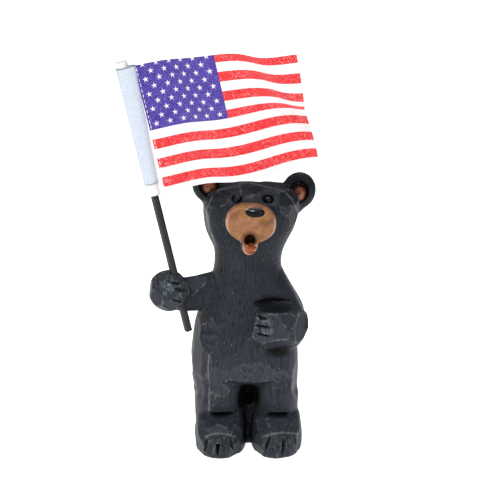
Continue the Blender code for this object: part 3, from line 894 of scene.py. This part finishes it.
def mark_painted_shade(mesh, points, normals, surface, finished):
    """Painted shade, near black, in the folds by how closed in each point is, in the hollows under
    and between the masses and at the top of the ears' hollows; also the eyes' black rings.
    """
    deep = [spread(crevices(points, normals, finished), *edge_ends(mesh), 2)]
    for centre, radii, softness in PAINTED_SHADE_HOLLOWS:
        deep.append(inside(points, centre, radii) / softness)
    for middle, radius in on_eyes(surface, EYE_RING):
        deep.append(inside(points, middle, (radius,) * 3) / 0.15)
    # Painted shade at the top of each ear's hollow
    for middle, lean in on_ears():
        deep.append(np.minimum(inside(points, middle, EAR_SHADE_RADII, lean) / 0.5, 0.9))
    store(mesh, "painted_shade_and_eye_rings", np.clip(np.max(deep, axis=0), 0, 1))


def mark_face(mesh, points, surface):
    """The muzzle, nose, eyes, the mouth's painted shade, the tongue, the ears' linings and the
    glossy places with their painted sheen.
    """
    local = (points - np.array(HEAD_CENTRE)) @ np.array(HEAD_TURN)
    half_width, half_height = MUZZLE_PAINT_HALF
    across, rise = (local[:, 0] + 0.6) / half_width, (local[:, 2] + 1.2) / half_height
    round_by = 2.4
    disc = 1 - (np.abs(across) ** round_by + np.abs(rise) ** round_by) ** (1 / round_by)
    disc *= half_height
    snout = np.minimum(disc, -20.5 - local[:, 1])
    jaw = inside(points, *JAW_PAINT, HEAD_TURN)
    store(mesh, "snout", np.maximum(snout, jaw))
    store(mesh, "snout_edge", np.where(jaw > snout, jaw, disc))
    store(mesh, "snout_rise", local[:, 2])
    # The mouth's hollow, which gets painted shade
    mouth = inside(points, MOUTH, MOUTH_PAINT_RADII, HEAD_TURN)
    behind = np.minimum(mouth, local[:, 1] + 26.2)
    store(mesh, "mouth", np.where(snout > -0.2, mouth, behind))
    store(mesh, "tongue", inside(points, *TONGUE_PAINT, HEAD_TURN))
    black = [inside(points, NOSE, NOSE_PAINT_RADII, HEAD_TURN)]
    for middle, radius in on_eyes(surface, EYE_DOME):
        black.append(inside(points, middle, (radius + PAINT_MARGIN,) * 3))
    store(mesh, "gloss_black", np.max(black, axis=0))
    linings = []
    for middle, lean in on_ears():
        radii = np.array(EAR_LINING_RADII) + PAINT_MARGIN
        linings.append(inside(points, middle + lean @ EAR_LINING, radii, lean))
    store(mesh, "ear_lining", np.max(linings, axis=0))
    # Glossy places, which also get a painted paler bluish sheen
    glossy = [inside(points, centre, radii) for centre, radii in GLOSS_AND_SHEEN_PLACES]
    store(mesh, "gloss_and_painted_sheen", np.max(glossy, axis=0))


def melted_masses():
    """The bear's overlapping masses as one smooth body."""
    rough = new_object("bear_masses", mesh_from("bear_masses", bear_form()))
    melt = rough.modifiers.new("one_body", "REMESH")
    melt.mode = "VOXEL"
    melt.voxel_size = FORM_VOXEL * UNIT
    soften = rough.modifiers.new("soften", "SMOOTH")
    soften.factor = 0.5
    soften.iterations = FORM_SMOOTHING
    mesh = evaluated_copy(rough)
    bpy.data.objects.remove(rough)
    return mesh


def surface_of(made):
    """The object's surface as it is now, to look for places on."""
    bpy.context.view_layer.update()
    return BVHTree.FromObject(made, bpy.context.evaluated_depsgraph_get())


def finish_form(bear, surface):
    """Levels the soles, cuts the grooves, the hollows and the bore, and adds the inlays."""
    ground = bmesh.new()
    below = Matrix.Translation((0, 0, -10 * UNIT)) @ Matrix.Diagonal((0.12, 0.12, 20 * UNIT, 1))
    bmesh.ops.create_cube(ground, size=1, matrix=below)
    helpers = [helper("below_ground", ground)]
    boolean(bear, "flat_soles", helpers[-1], "DIFFERENCE")
    for name, fill, operation in (
        ("grooves", add_grooves, "DIFFERENCE"),
        ("hollows", add_hollows, "DIFFERENCE"),
        ("inlays", add_inlays, "UNION"),
    ):
        form = bmesh.new()
        fill(form, surface)
        bmesh.ops.scale(form, vec=(UNIT, UNIT, UNIT), verts=form.verts)
        helpers.append(helper(name, form))
        boolean(bear, name, helpers[-1], operation)
    reach = 16 * UNIT
    helpers.append(staff_bore(-reach, reach))
    boolean(bear, "staff_bore", helpers[-1], "DIFFERENCE")
    finished = evaluated_copy(bear)
    bear.modifiers.clear()
    bear.data = finished
    for spare in helpers:
        bpy.data.objects.remove(spare)
    return finished


def make_bear():
    """The masses melted into one, carved, furrowed, hollowed and marked for the paint."""
    mesh = melted_masses()
    bear = new_object("bear_figure", mesh)
    last_cut = carve(mesh, surface_of(bear))
    furrow(mesh)
    carved_points, _ = read_points(mesh)
    surface = surface_of(bear)
    finished = finish_form(bear, surface)
    points, normals = read_points(finished)
    mark_knife_work(finished, points, normals, carved_points, last_cut)
    mark_painted_shade(finished, points, normals, surface, surface_of(bear))
    mark_face(finished, points, surface)
    finished.shade_smooth()
    finished.set_sharp_from_angle(angle=SHARP_FROM)
    return bear


# The staff and the flag


def make_staff():
    """The stick, with a sawn foot, slightly wavy corners and a little wear."""
    form = bmesh.new()
    low, high = STAFF_FOOT * UNIT, FLAG_FOOT * UNIT + HOIST - SLEEVE_PAST_TIP
    ease = STAFF_CORNER / 2
    between = np.linspace(low + 2 * ease, high - 2 * ease, 70)
    heights = [low, low + ease, *between, high - ease, high]
    sections = []
    for height in heights:
        at_end = height in (low, high)
        section = staff_section(-ease if at_end else 0)
        wavy = [
            p * (1 + 0.025 * noise.noise(Vector((p.x * 900, p.y * 900, height * 160))))
            for p in section
        ]
        sections.append((height, wavy))
    add_along_staff(form, sections)
    bmesh.ops.recalc_face_normals(form, faces=form.faces)
    mesh = mesh_from("staff_stick", form)
    mesh.shade_smooth()
    mesh.set_sharp_from_angle(angle=math.radians(50))
    return new_object("staff_stick", mesh)


def running_total(values, step):
    """The integral from the first row on, by the trapezium rule."""
    steps = (values[1:] + values[:-1]) / 2 * step
    return np.concatenate([np.zeros((1, values.shape[1])), np.cumsum(steps, axis=0)])


def cloth_places(start):
    """The cloth's points, one row for each drop from the top edge, one column along the fly."""
    columns, rows = CLOTH_GRID
    paw, up, fly = staff_frame()
    s, s_step = np.linspace(start, FLY, columns + 1, retstep=True)
    drop, drop_step = np.linspace(0, HOIST, rows + 1, retstep=True)
    s, drop = s[None, :], drop[:, None]
    down, share = drop / HOIST, s / FLY
    near_staff = 1 - np.exp(-((s / WAVE_RISE) ** 2))
    upper = UPPER_WAVE * np.sin(2 * np.pi * (s - UPPER_START) / WAVE_LENGTH)
    lower = LOWER_WAVE * np.sin(2 * np.pi * (s - LOWER_START) / WAVE_LENGTH)
    crease = np.exp(-(((s - CREASE_AT - CREASE_SLANT * drop) / CREASE_WIDTH) ** 2)) * (1 - down)
    forward = near_staff * (upper * (1 - down) + lower * down)
    forward += CREASE_DEPTH * crease + math.sin(FLAG_TURN) * s
    slope = np.gradient(forward, s_step, axis=1)
    chord = running_total(np.sqrt(np.clip(1 - slope**2, 0.1, 1)).T, s_step).T
    chord += start * math.cos(FLAG_TURN)
    fold = np.exp(-(((down - FOLD_AT) / FOLD_SPREAD) ** 2))
    tilt = (LOWER_TILT + FOLD_TILT * fold) * share**TILT_GROWTH
    rise = running_total(np.cos(tilt)[::-1], drop_step)[::-1] - CREASE_SAG * crease
    back = -forward - running_total(np.sin(tilt)[::-1], drop_step)[::-1]
    bottom = np.array(paw + up * FLAG_FOOT * UNIT)
    places = bottom + rise[..., None] * np.array(up) + chord[..., None] * np.array(fly)
    places[..., 1] += back
    return places


def thicken(sheet, thickness, offset):
    thick = sheet.modifiers.new("cloth", "SOLIDIFY")
    thick.thickness = thickness
    thick.offset = offset


def make_cloth():
    """The printed sheet, from inside the sleeve to its free edge."""
    columns, rows = CLOTH_GRID
    places = cloth_places(SHEET_START)
    form = bmesh.new()
    grid = [[form.verts.new(place) for place in row] for row in places]
    for upper, lower in zip(grid, grid[1:]):
        for i in range(columns):
            form.faces.new((upper[i], lower[i], lower[i + 1], upper[i + 1]))
    mesh = mesh_from("flag_cloth", form)
    across, down = np.meshgrid(
        np.linspace(SHEET_START, FLY, columns + 1), np.linspace(0, HOIST, rows + 1)
    )
    flat = np.stack([across, down, np.zeros_like(down)], axis=2) * 1000
    where = mesh.attributes.new("cloth_place", "FLOAT_VECTOR", "POINT")
    where.data.foreach_set("vector", flat.astype(np.float32).ravel())
    mesh.shade_smooth()
    cloth = new_object("flag_cloth", mesh)
    thicken(cloth, CLOTH, 0)
    return cloth


def sleeve_outline(half, flare, sides=48):
    """A rounded outline round the staff, in (fly, depth), wider on the flag's side."""
    return [
        Vector((x * (half + flare if x > 0 else half), y * half))
        for x, y in outline(sides, 0.8)
    ]


def wrap_tube(name, low, high, half, flare, thickness, rows):
    """A tube of cloth round the staff, open at both ends, flared towards its top."""
    paw, up, fly = staff_frame()
    back = Vector((0, 1, 0))
    form = bmesh.new()
    rings = []
    from_end = []
    for j in range(rows + 1):
        share = j / rows
        height = low + (high - low) * share
        ring = []
        for k, p in enumerate(sleeve_outline(half, flare * share)):
            ripple = 1 + 0.035 * noise.noise(Vector((k * 0.35, height * 130, half * 900)))
            place = paw + up * height + fly * p.x * ripple + back * p.y * ripple
            ring.append(form.verts.new(place))
            from_end.append(min(height - low, high - height) * 1000)
        rings.append(ring)
    for lower, upper in zip(rings, rings[1:]):
        for k in range(len(lower)):
            n = (k + 1) % len(lower)
            form.faces.new((lower[k], lower[n], upper[n], upper[k]))
    mesh = mesh_from(name, form)
    store(mesh, "from_end", from_end)
    mesh.shade_smooth()
    tube = new_object(name, mesh)
    thicken(tube, thickness, 1)
    return tube


def make_stitches():
    """White thread along the band's edge, one bead of thread for each stitch."""
    rows = CLOTH_GRID[1]
    line = cloth_places(STITCH_LINE)[:, 0]
    form = bmesh.new()
    start, end = STITCH_FROM_TOP, HOIST - BAND_FROM_BOTTOM
    for i in range(int((end - start) / (STITCH + STITCH_GAP))):
        at = start + (i + 0.5) * (STITCH + STITCH_GAP)
        above = Vector(line[int((at - STITCH / 2) / HOIST * rows)])
        below = Vector(line[int((at + STITCH / 2) / HOIST * rows)])
        middle = (above + below) / 2 + Vector((0, -CLOTH * 0.6, 0))
        turn = (above - below).to_track_quat("Z", "Y").to_matrix().to_4x4()
        shape = Matrix.Diagonal((*THREAD_RADII, STITCH / 2, 1))
        place = Matrix.Translation(middle) @ turn @ shape
        bmesh.ops.create_icosphere(form, subdivisions=2, radius=1, matrix=place)
    mesh = mesh_from("hoist_stitches", form)
    mesh.shade_smooth()
    return new_object("hoist_stitches", mesh)


# Finishes


class Finish:
    """A material being built. Each method adds a node and gives back its output."""

    def __init__(self, name):
        self.material = bpy.data.materials.new(name)
        self.material.use_nodes = True
        self.tree = self.material.node_tree
        self.shader = self.tree.nodes["Principled BSDF"]

    def node(self, kind, **settings):
        made = self.tree.nodes.new("ShaderNode" + kind)
        for name, value in settings.items():
            setattr(made, name, value)
        return made

    def feed(self, socket, value):
        if isinstance(value, bpy.types.NodeSocket):
            self.tree.links.new(value, socket)
        else:
            socket.default_value = value

    def math(self, operation, *values):
        made = self.node("Math", operation=operation)
        for socket, value in zip(made.inputs, values):
            self.feed(socket, value)
        return made.outputs[0]

    def chain(self, operation, *values):
        """One operation over all the values, from left to right."""
        made = values[0]
        for value in values[1:]:
            made = self.math(operation, made, value)
        return made

    def attribute(self, name, output="Fac"):
        return self.node("Attribute", attribute_name=name).outputs[output]

    def stretched(self, vector, stretch):
        made = self.node("VectorMath", operation="MULTIPLY")
        self.feed(made.inputs[0], vector)
        made.inputs[1].default_value = stretch
        return made.outputs[0]

    def place(self, *stretch):
        """The place on the object in millimetres, times a stretch for each axis."""
        millimetres = [1000 * x for x in stretch or (1, 1, 1)]
        return self.stretched(self.node("TexCoord").outputs["Object"], millimetres)

    def along_staff(self):
        """The place on the object in millimetres, turned so that Z runs up the staff."""
        lean = self.node("VectorRotate", rotation_type="Y_AXIS")
        self.feed(lean.inputs["Vector"], self.place())
        lean.inputs["Angle"].default_value = STAFF_LEAN
        return lean.outputs[0]

    def split(self, vector):
        """A vector's three parts."""
        parts = self.node("SeparateXYZ")
        self.feed(parts.inputs[0], vector)
        return parts.outputs[0], parts.outputs[1], parts.outputs[2]

    def noise(self, place, scale, detail=2.0, roughness=0.5):
        made = self.node("TexNoise")
        self.feed(made.inputs["Vector"], place)
        made.inputs["Scale"].default_value = scale
        made.inputs["Detail"].default_value = detail
        made.inputs["Roughness"].default_value = roughness
        return made.outputs["Fac"]

    def ramp(self, value, low, high, start=0.0, end=1.0):
        """The value's way from low to high, held at both ends."""
        made = self.node("MapRange")
        for socket, fed in zip(made.inputs, (value, low, high, start, end)):
            self.feed(socket, fed)
        return made.outputs[0]

    def mix(self, share, first, second):
        made = self.node("Mix", data_type="RGBA")
        self.feed(made.inputs[0], share)
        for socket, colour in ((made.inputs[6], first), (made.inputs[7], second)):
            self.feed(socket, colour if isinstance(colour, bpy.types.NodeSocket) else (*colour, 1))
        return made.outputs[2]

    def mark(self, name, *limits):
        """A stored mark's way between limits."""
        return self.ramp(self.attribute(name), *limits)

    def layers(self, colour, *coats):
        """The colour under coats, given as (share, colour) from the first to the last."""
        for share, coat in coats:
            colour = self.mix(share, colour, coat)
        return colour

    def bump(self, height, distance, normal=None):
        made = self.node("Bump")
        made.inputs["Distance"].default_value = distance
        self.feed(made.inputs["Height"], height)
        if normal:
            self.feed(made.inputs["Normal"], normal)
        return made.outputs[0]

    def done(self, colour, roughness, normal=None):
        self.feed(self.shader.inputs["Base Color"], colour)
        self.feed(self.shader.inputs["Roughness"], roughness)
        if normal:
            self.feed(self.shader.inputs["Normal"], normal)
        return self.material

    def woven(self, colour, threads):
        """Cloth of this colour with the threads' relief and a faint sheen."""
        self.shader.inputs["Sheen Weight"].default_value = 0.15
        self.shader.inputs["Sheen Roughness"].default_value = 0.5
        relief = self.bump(threads, 0.00006)
        return self.done(colour, self.ramp(threads, -1, 1, 0.85, 0.7), relief)


def slate_colour(f, place, streak, fine, patchy):
    """Slate black, toned cut by cut with painted light on some cuts, rubbed pale on the ridges,
    with a painted sheen on the glossy places and painted shade black in the folds and hollows.
    """
    _, _, height = f.split(place)
    on_body = f.ramp(height, 112, 98)
    dark = f.mix(on_body, (0.012, 0.015, 0.021), (0.018, 0.023, 0.031))
    light = f.mix(on_body, (0.024, 0.029, 0.038), (0.040, 0.047, 0.060))
    # A paler brownish band on the side facing the bear's right
    side = f.math("MULTIPLY", f.attribute("pale_right_side"), f.ramp(streak, 0.35, 0.7, 0.25, 0.9))
    worn = f.math("ADD", f.attribute("ridge"), f.ramp(patchy, 0.3, 0.7, -0.12, 0.10))
    rubbed = f.math("MULTIPLY", f.attribute("cut_line"), f.ramp(patchy, 0.45, 0.68, 0, 0.5))
    brushed = f.ramp(patchy, 0.34, 0.58, 0.1, 0.8)
    drawn = f.math("MULTIPLY", f.mark("knife_ridge", 0.75, 0.15), brushed)
    broad = f.math("ADD", f.attribute("broad_ridge"), f.ramp(streak, 0.3, 0.7, -0.06, 0.06))
    # Painted sheen: a paler bluish tone on the glossy places
    painted_sheen = f.chain("MULTIPLY", f.mark("gloss_and_painted_sheen", 0, 1.4), f.ramp(patchy, 0.42, 0.56), 0.75)
    crack = f.noise(f.place(1, 1, 0.05), 1.7, 3, 0.6)
    return f.layers(
        f.mix(f.noise(place, 0.11, 3), dark, light),
        # Each cut's own tone, with painted light on the lit cuts
        (f.mark("cut_tone_and_painted_light", 0, 1, 0, 0.6), (0.064, 0.074, 0.091)),
        (f.ramp(streak, 0.50, 0.78, 0, 0.55), (0.065, 0.069, 0.076)),
        (f.ramp(fine, 0.58, 0.80, 0, 0.30), (0.09, 0.09, 0.092)),
        (side, (0.075, 0.068, 0.060)),
        (f.ramp(worn, 0.10, 0.26, 0, 0.85), (0.19, 0.19, 0.185)),
        (rubbed, (0.20, 0.20, 0.195)),
        (drawn, (0.20, 0.20, 0.20)),
        (f.ramp(broad, 0.08, 0.20, 0, 0.45), (0.11, 0.108, 0.104)),
        (painted_sheen, (0.13, 0.155, 0.195)),
        # Painted shade: near black in the folds and shaded hollows, with the eyes' black rings
        (f.mark("painted_shade_and_eye_rings", 0.30, 0.75, 0, 0.97), (0.0035, 0.0035, 0.004)),
        (f.ramp(crack, 0.43, 0.35, 0, 0.85), (0.004, 0.004, 0.005)),
        (f.ramp(f.noise(place, 1.9, 0), 0.815, 0.85, 0, 0.7), (0.40, 0.41, 0.43)),
    )


def skin_colour(f, place, patchy):
    """The muzzle's tan, with golden and brown patches and a pale painted highlight along the lower
    part of its chamfered border.
    """
    # Painted highlight: a pale rim where the muzzle's chamfered edge catches the light, on its
    # lower part
    rim = f.chain(
        "MULTIPLY",
        f.mark("snout_edge", 1.5, 0.5),
        f.ramp(patchy, 0.3, 0.55, 0.3, 0.9),
        f.mark("snout_rise", 4.5, 1.5),
    )
    return f.layers(
        (0.30, 0.145, 0.078),
        (f.ramp(patchy, 0.30, 0.70), (0.39, 0.21, 0.125)),
        (f.ramp(f.noise(place, 0.22, 2), 0.48, 0.62, 0, 0.8), (0.29, 0.15, 0.040)),
        (f.ramp(f.noise(place, 0.17, 1), 0.50, 0.66, 0, 0.7), (0.15, 0.066, 0.032)),
        (rim, (0.62, 0.38, 0.29)),
    )


def bear_finish():
    """Satin slate black, rubbed to pale grey on the ridges, with the painted face."""
    f = Finish("slate_black_paint")
    place = f.place()
    streak = f.noise(f.place(1, 1, 0.07), 1.3, 4, 0.6)
    fine = f.noise(f.place(1, 1, 0.12), 3.6, 2)
    patchy = f.noise(place, 0.45, 4, 0.65)
    uneven = f.ramp(patchy, 0.35, 0.7)
    colour = f.layers(
        slate_colour(f, place, streak, fine, patchy),
        (f.mark("snout", -0.1, 0.15), skin_colour(f, place, patchy)),
        (
            f.mark("ear_lining", -0.1, 0.2),
            f.mix(uneven, (0.18, 0.055, 0.025), (0.44, 0.18, 0.095)),
        ),
        (f.mark("gloss_black", -0.08, 0.08), (0.003, 0.003, 0.004)),
        # Painted shade: the mouth's hollow, dark brown round it and near black inside
        (f.mark("mouth", -2.2, 0.2, 0, 0.8), (0.06, 0.022, 0.010)),
        (f.mark("mouth", -0.5, 0.9), (0.012, 0.005, 0.003)),
        (f.mark("tongue", -0.08, 0.08), f.mix(uneven, (0.24, 0.052, 0.010), (0.40, 0.12, 0.03))),
    )
    black, snout, lining, tongue = (
        f.attribute(name) for name in ("gloss_black", "snout", "ear_lining", "tongue")
    )
    painted = f.ramp(f.chain("MAXIMUM", black, snout, lining), -0.2, 0.2)
    glossy = f.math("MULTIPLY", f.mark("gloss_and_painted_sheen", -0.2, 1.2), f.ramp(patchy, 0.35, 0.6))
    rough = f.math("MULTIPLY_ADD", glossy, -0.22, f.ramp(streak, 0.3, 0.8, 0.36, 0.55))
    rough = f.math("MULTIPLY_ADD", painted, f.math("SUBTRACT", 0.24, rough), rough)
    wet = f.chain(
        "MAXIMUM",
        f.ramp(f.math("MAXIMUM", tongue, lining), -0.2, 0.2),
        f.math("MULTIPLY", f.ramp(black, -0.2, 0.2), f.mark("snout_rise", 4.6, 5.8)),
        f.math("MULTIPLY", glossy, 0.6),
    )
    f.feed(f.shader.inputs["Coat Weight"], wet)
    f.shader.inputs["Coat Roughness"].default_value = 0.07
    f.shader.inputs["Specular IOR Level"].default_value = 0.18
    return f.done(colour, rough, f.bump(fine, 0.00008, f.bump(streak, 0.00018)))


def staff_finish():
    """Black stain that lets the wood's long grain show."""
    f = Finish("black_stained_wood")
    grain = f.noise(f.stretched(f.along_staff(), (1, 1, 0.05)), 2.6, 4, 0.6)
    colour = f.layers(
        (0.012, 0.012, 0.013),
        (f.noise(f.place(), 0.12, 2), (0.030, 0.029, 0.028)),
        (f.ramp(grain, 0.5, 0.75, 0, 0.6), (0.085, 0.075, 0.062)),
    )
    return f.done(colour, f.ramp(grain, 0.3, 0.8, 0.42, 0.7), f.bump(grain, 0.00012))


def star_lattice(f, across, down, start):
    """1 inside the stars of one lattice, whose pitch is one star across and two rows down."""
    offsets = []
    for value, first, pitch in zip((across, down), start, (STAR_PITCH[0], 2 * STAR_PITCH[1])):
        cell = f.math("DIVIDE", f.math("SUBTRACT", value, first), pitch)
        nearest = f.math("ROUND", cell)
        offsets.append(f.math("MULTIPLY", f.math("SUBTRACT", cell, nearest), pitch))
    dx, dy = offsets
    radius = f.math("SQRT", f.math("ADD", f.math("MULTIPLY", dx, dx), f.math("MULTIPLY", dy, dy)))
    angle = f.math("ARCTAN2", dx, f.math("MULTIPLY", dy, -1))
    point = f.math("WRAP", angle, math.pi / 5, -math.pi / 5)
    along = f.math("COSINE", point)
    aside = f.math("ABSOLUTE", f.math("SINE", point))
    lengthwise = f.math("MULTIPLY", along, math.sin(STAR_TIP))
    slope = f.math("MULTIPLY_ADD", aside, math.cos(STAR_TIP), lengthwise)
    side = STAR_RADIUS * math.sin(STAR_TIP)
    return f.ramp(f.math("MULTIPLY", radius, slope), side + STAR_EDGE, side - STAR_EDGE)


def star_cover(f, across, down):
    """1 inside the canton's stars: two lattices, from the first to the last row and column."""
    (x, y), (pitch_x, pitch_y) = FIRST_STAR, STAR_PITCH
    second = (x + pitch_x / 2, y + pitch_y)
    lattices = (star_lattice(f, across, down, start) for start in (FIRST_STAR, second))
    return f.chain(
        "MULTIPLY",
        f.math("MAXIMUM", *lattices),
        f.math("LESS_THAN", down, y + 8 * pitch_y + STAR_RADIUS),
        f.math("LESS_THAN", across, x + 5 * pitch_x + STAR_RADIUS),
        f.math("GREATER_THAN", across, x - STAR_RADIUS),
    )


def weave(f, across, down):
    """The plain weave's threads: 1 where a warp thread is on top, -1 where a weft thread is."""
    turns = 2 * math.pi / THREAD_PAIR
    waves = (f.math("SINE", f.math("MULTIPLY", value, turns)) for value in (across, down))
    return f.math("MULTIPLY", *waves)


def flag_finish():
    """Coarse white cloth with a woven tooth, printed with stripes and a starred canton."""
    f = Finish("printed_cloth")
    place = f.place()
    across, down, _ = f.split(f.attribute("cloth_place", "Vector"))
    wobble = f.math("MULTIPLY", f.math("SUBTRACT", f.noise(place, 1.4, 2), 0.5), 0.25)
    stripe = f.math("DIVIDE", f.chain("ADD", down, PRINT_CROP, wobble), STRIPE)
    odd = f.math("MODULO", f.math("FLOOR", stripe), 2)
    started = f.math("GREATER_THAN", across, PRINT_START)
    in_stripes = f.math("LESS_THAN", stripe, STRIPES)
    red_here = f.chain("MULTIPLY", f.math("LESS_THAN", odd, 0.5), in_stripes, started)
    in_canton = f.math("LESS_THAN", stripe, CANTON_STRIPES)
    blue_here = f.chain("MULTIPLY", in_canton, f.math("LESS_THAN", across, CANTON_END), started)

    threads = weave(f, across, down)
    uneven = f.math("SUBTRACT", f.noise(place, 0.9, 2), 0.5)
    flecks = f.math("MULTIPLY_ADD", uneven, 5.0, threads)
    faded = f.ramp(f.noise(place, 0.13, 2), 0.38, 0.62, 0.35, 1.0)
    bare = f.math("MULTIPLY", f.ramp(flecks, 0.2, 1.7), faded)
    dark = f.ramp(flecks, -0.2, -1.7)
    white = f.mix(f.ramp(threads, -0.5, 0.5), (0.78, 0.77, 0.77), (0.86, 0.85, 0.85))
    red = f.layers((0.74, 0.038, 0.045), (bare, (0.95, 0.40, 0.38)), (dark, (0.50, 0.010, 0.016)))
    blue = f.layers(
        (0.085, 0.050, 0.33),
        (bare, (0.24, 0.19, 0.56)),
        (dark, (0.030, 0.018, 0.14)),
        (star_cover(f, across, down), (0.78, 0.77, 0.82)),
    )
    return f.woven(f.layers(white, (red_here, red), (blue_here, blue)), threads)


def band_finish(name, colour, shade, edge=None):
    """Unprinted cloth of the sleeve and the band, darker between the threads and in blotches, with
    a painted shadow line along its cut ends when a colour for it is given.
    """
    f = Finish(name)
    place = f.place()
    across, _, along = f.split(f.along_staff())
    threads = weave(f, across, along)
    tone = f.layers(
        shade,
        (f.ramp(threads, -0.8, 0.8), colour),
        (f.ramp(f.noise(place, 0.5, 4, 0.65), 0.45, 0.75, 0, 0.6), shade),
        (f.ramp(f.noise(place, 1.5, 2, 0.6), 0.52, 0.68, 0, 0.75), shade),
    )
    # Painted shadow: a dark line along both ends of the band
    if edge:
        tone = f.mix(f.mark("from_end", 0.25, 0.55, 0.85, 0), tone, edge)
    return f.woven(tone, threads)


# The dressed pieces


def dress(piece, material):
    piece.data.materials.clear()
    piece.data.materials.append(material)
    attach(piece, "root")
    return piece


bear = dress(make_bear(), bear_finish())
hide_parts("bear")
staff = dress(make_staff(), staff_finish())
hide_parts("flag_staff")

low = FLAG_FOOT * UNIT
high = low + HOIST
bore = max(p.x for p in staff_section(FIT_GAP))
sleeve = dress(
    wrap_tube("hoist_sleeve", low, high + SLEEVE_ABOVE, bore, 0, SLEEVE_WALL, SLEEVE_ROWS),
    band_finish("sleeve_cloth", (0.88, 0.87, 0.85), (0.80, 0.79, 0.77)),
)
band = dress(
    wrap_tube(
        "hoist_band",
        low + BAND_FROM_BOTTOM,
        high + BAND_ABOVE,
        bore + SLEEVE_WALL + BAND_GAP,
        BAND_FLARE,
        BAND_THICKNESS,
        BAND_ROWS,
    ),
    # The band's bluish grey is white cloth painted in shade, and its ends get a painted shadow
    # line
    band_finish("band_cloth_painted_shade", (0.70, 0.75, 0.82), (0.52, 0.58, 0.67), (0.20, 0.22, 0.27)),
)
stitches = dress(
    make_stitches(), band_finish("thread", (0.9, 0.9, 0.9), (0.8, 0.8, 0.8))
)
cloth = dress(make_cloth(), flag_finish())
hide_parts("flag")


# The floor, the lights and the camera


# How much of its own light the floor gives, which keeps it white out to the horizon
FLOOR_GLOW = 0.65


def make_floor():
    form = bmesh.new()
    bmesh.ops.create_grid(form, x_segments=8, y_segments=8, size=2.0)
    floor = new_object("pale_floor", mesh_from("pale_floor", form))
    f = Finish("pale_floor")
    grain = f.noise(f.place(), 0.05, 3)
    tone = f.mix(grain, (0.90, 0.90, 0.90), (0.93, 0.93, 0.93))
    f.shader.inputs["Emission Color"].default_value = (1, 1, 1, 1)
    f.shader.inputs["Emission Strength"].default_value = FLOOR_GLOW
    floor.data.materials.append(f.done(tone, f.ramp(grain, 0, 1, 0.75, 0.85)))
    floor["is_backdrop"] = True


def add_light(name, place, aim, size, power):
    light = bpy.data.lights.new(name, "AREA")
    light.shape = "RECTANGLE"
    light.size, light.size_y = size
    light.energy = power
    lamp = new_object(name, light)
    lamp.location = place
    lamp.rotation_euler = (Vector(aim) - Vector(place)).to_track_quat("-Z", "Y").to_euler()


def add_camera():
    """The photo's view: from the front, a little from above."""
    aim = Vector((0, 0, VIEW_MIDDLE / math.cos(VIEW_RISE)))
    data = bpy.data.cameras.new("photo_view")
    data.lens = 129.6
    data.sensor_width = 36
    data.clip_start = 0.01
    camera = new_object("photo_view", data)
    away = Vector((0, -math.cos(VIEW_RISE), math.sin(VIEW_RISE)))
    camera.location = aim + VIEW_DISTANCE * away
    camera.rotation_euler = (aim - camera.location).to_track_quat("-Z", "Y").to_euler()
    bpy.context.scene.camera = camera


def light_room():
    """A white room: a large soft light overhead, a key from the left and a weak front fill."""
    middle = (0, 0, 0.1)
    add_light("overhead", (0, 0.15, 1.5), middle, (1.6, 1.6), 8)
    add_light("key", (-0.4, -0.85, 1.1), middle, (0.7, 0.22), 8.5)
    add_light("fill", (0.9, -0.9, 0.5), middle, (0.6, 0.6), 1.2)
    world = bpy.data.worlds.new("white_room")
    bpy.context.scene.world = world
    world.use_nodes = True
    backdrop = world.node_tree.nodes["Background"]
    backdrop.inputs["Color"].default_value = (1, 1, 1, 1)
    backdrop.inputs["Strength"].default_value = 0.2
    bpy.context.scene.view_settings.view_transform = "Standard"
    bpy.context.scene.view_settings.look = "Medium High Contrast"


make_floor()
light_room()
add_camera()

boxes = [[list(corner) for corner in box] for box in (CAD_BOX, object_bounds())]
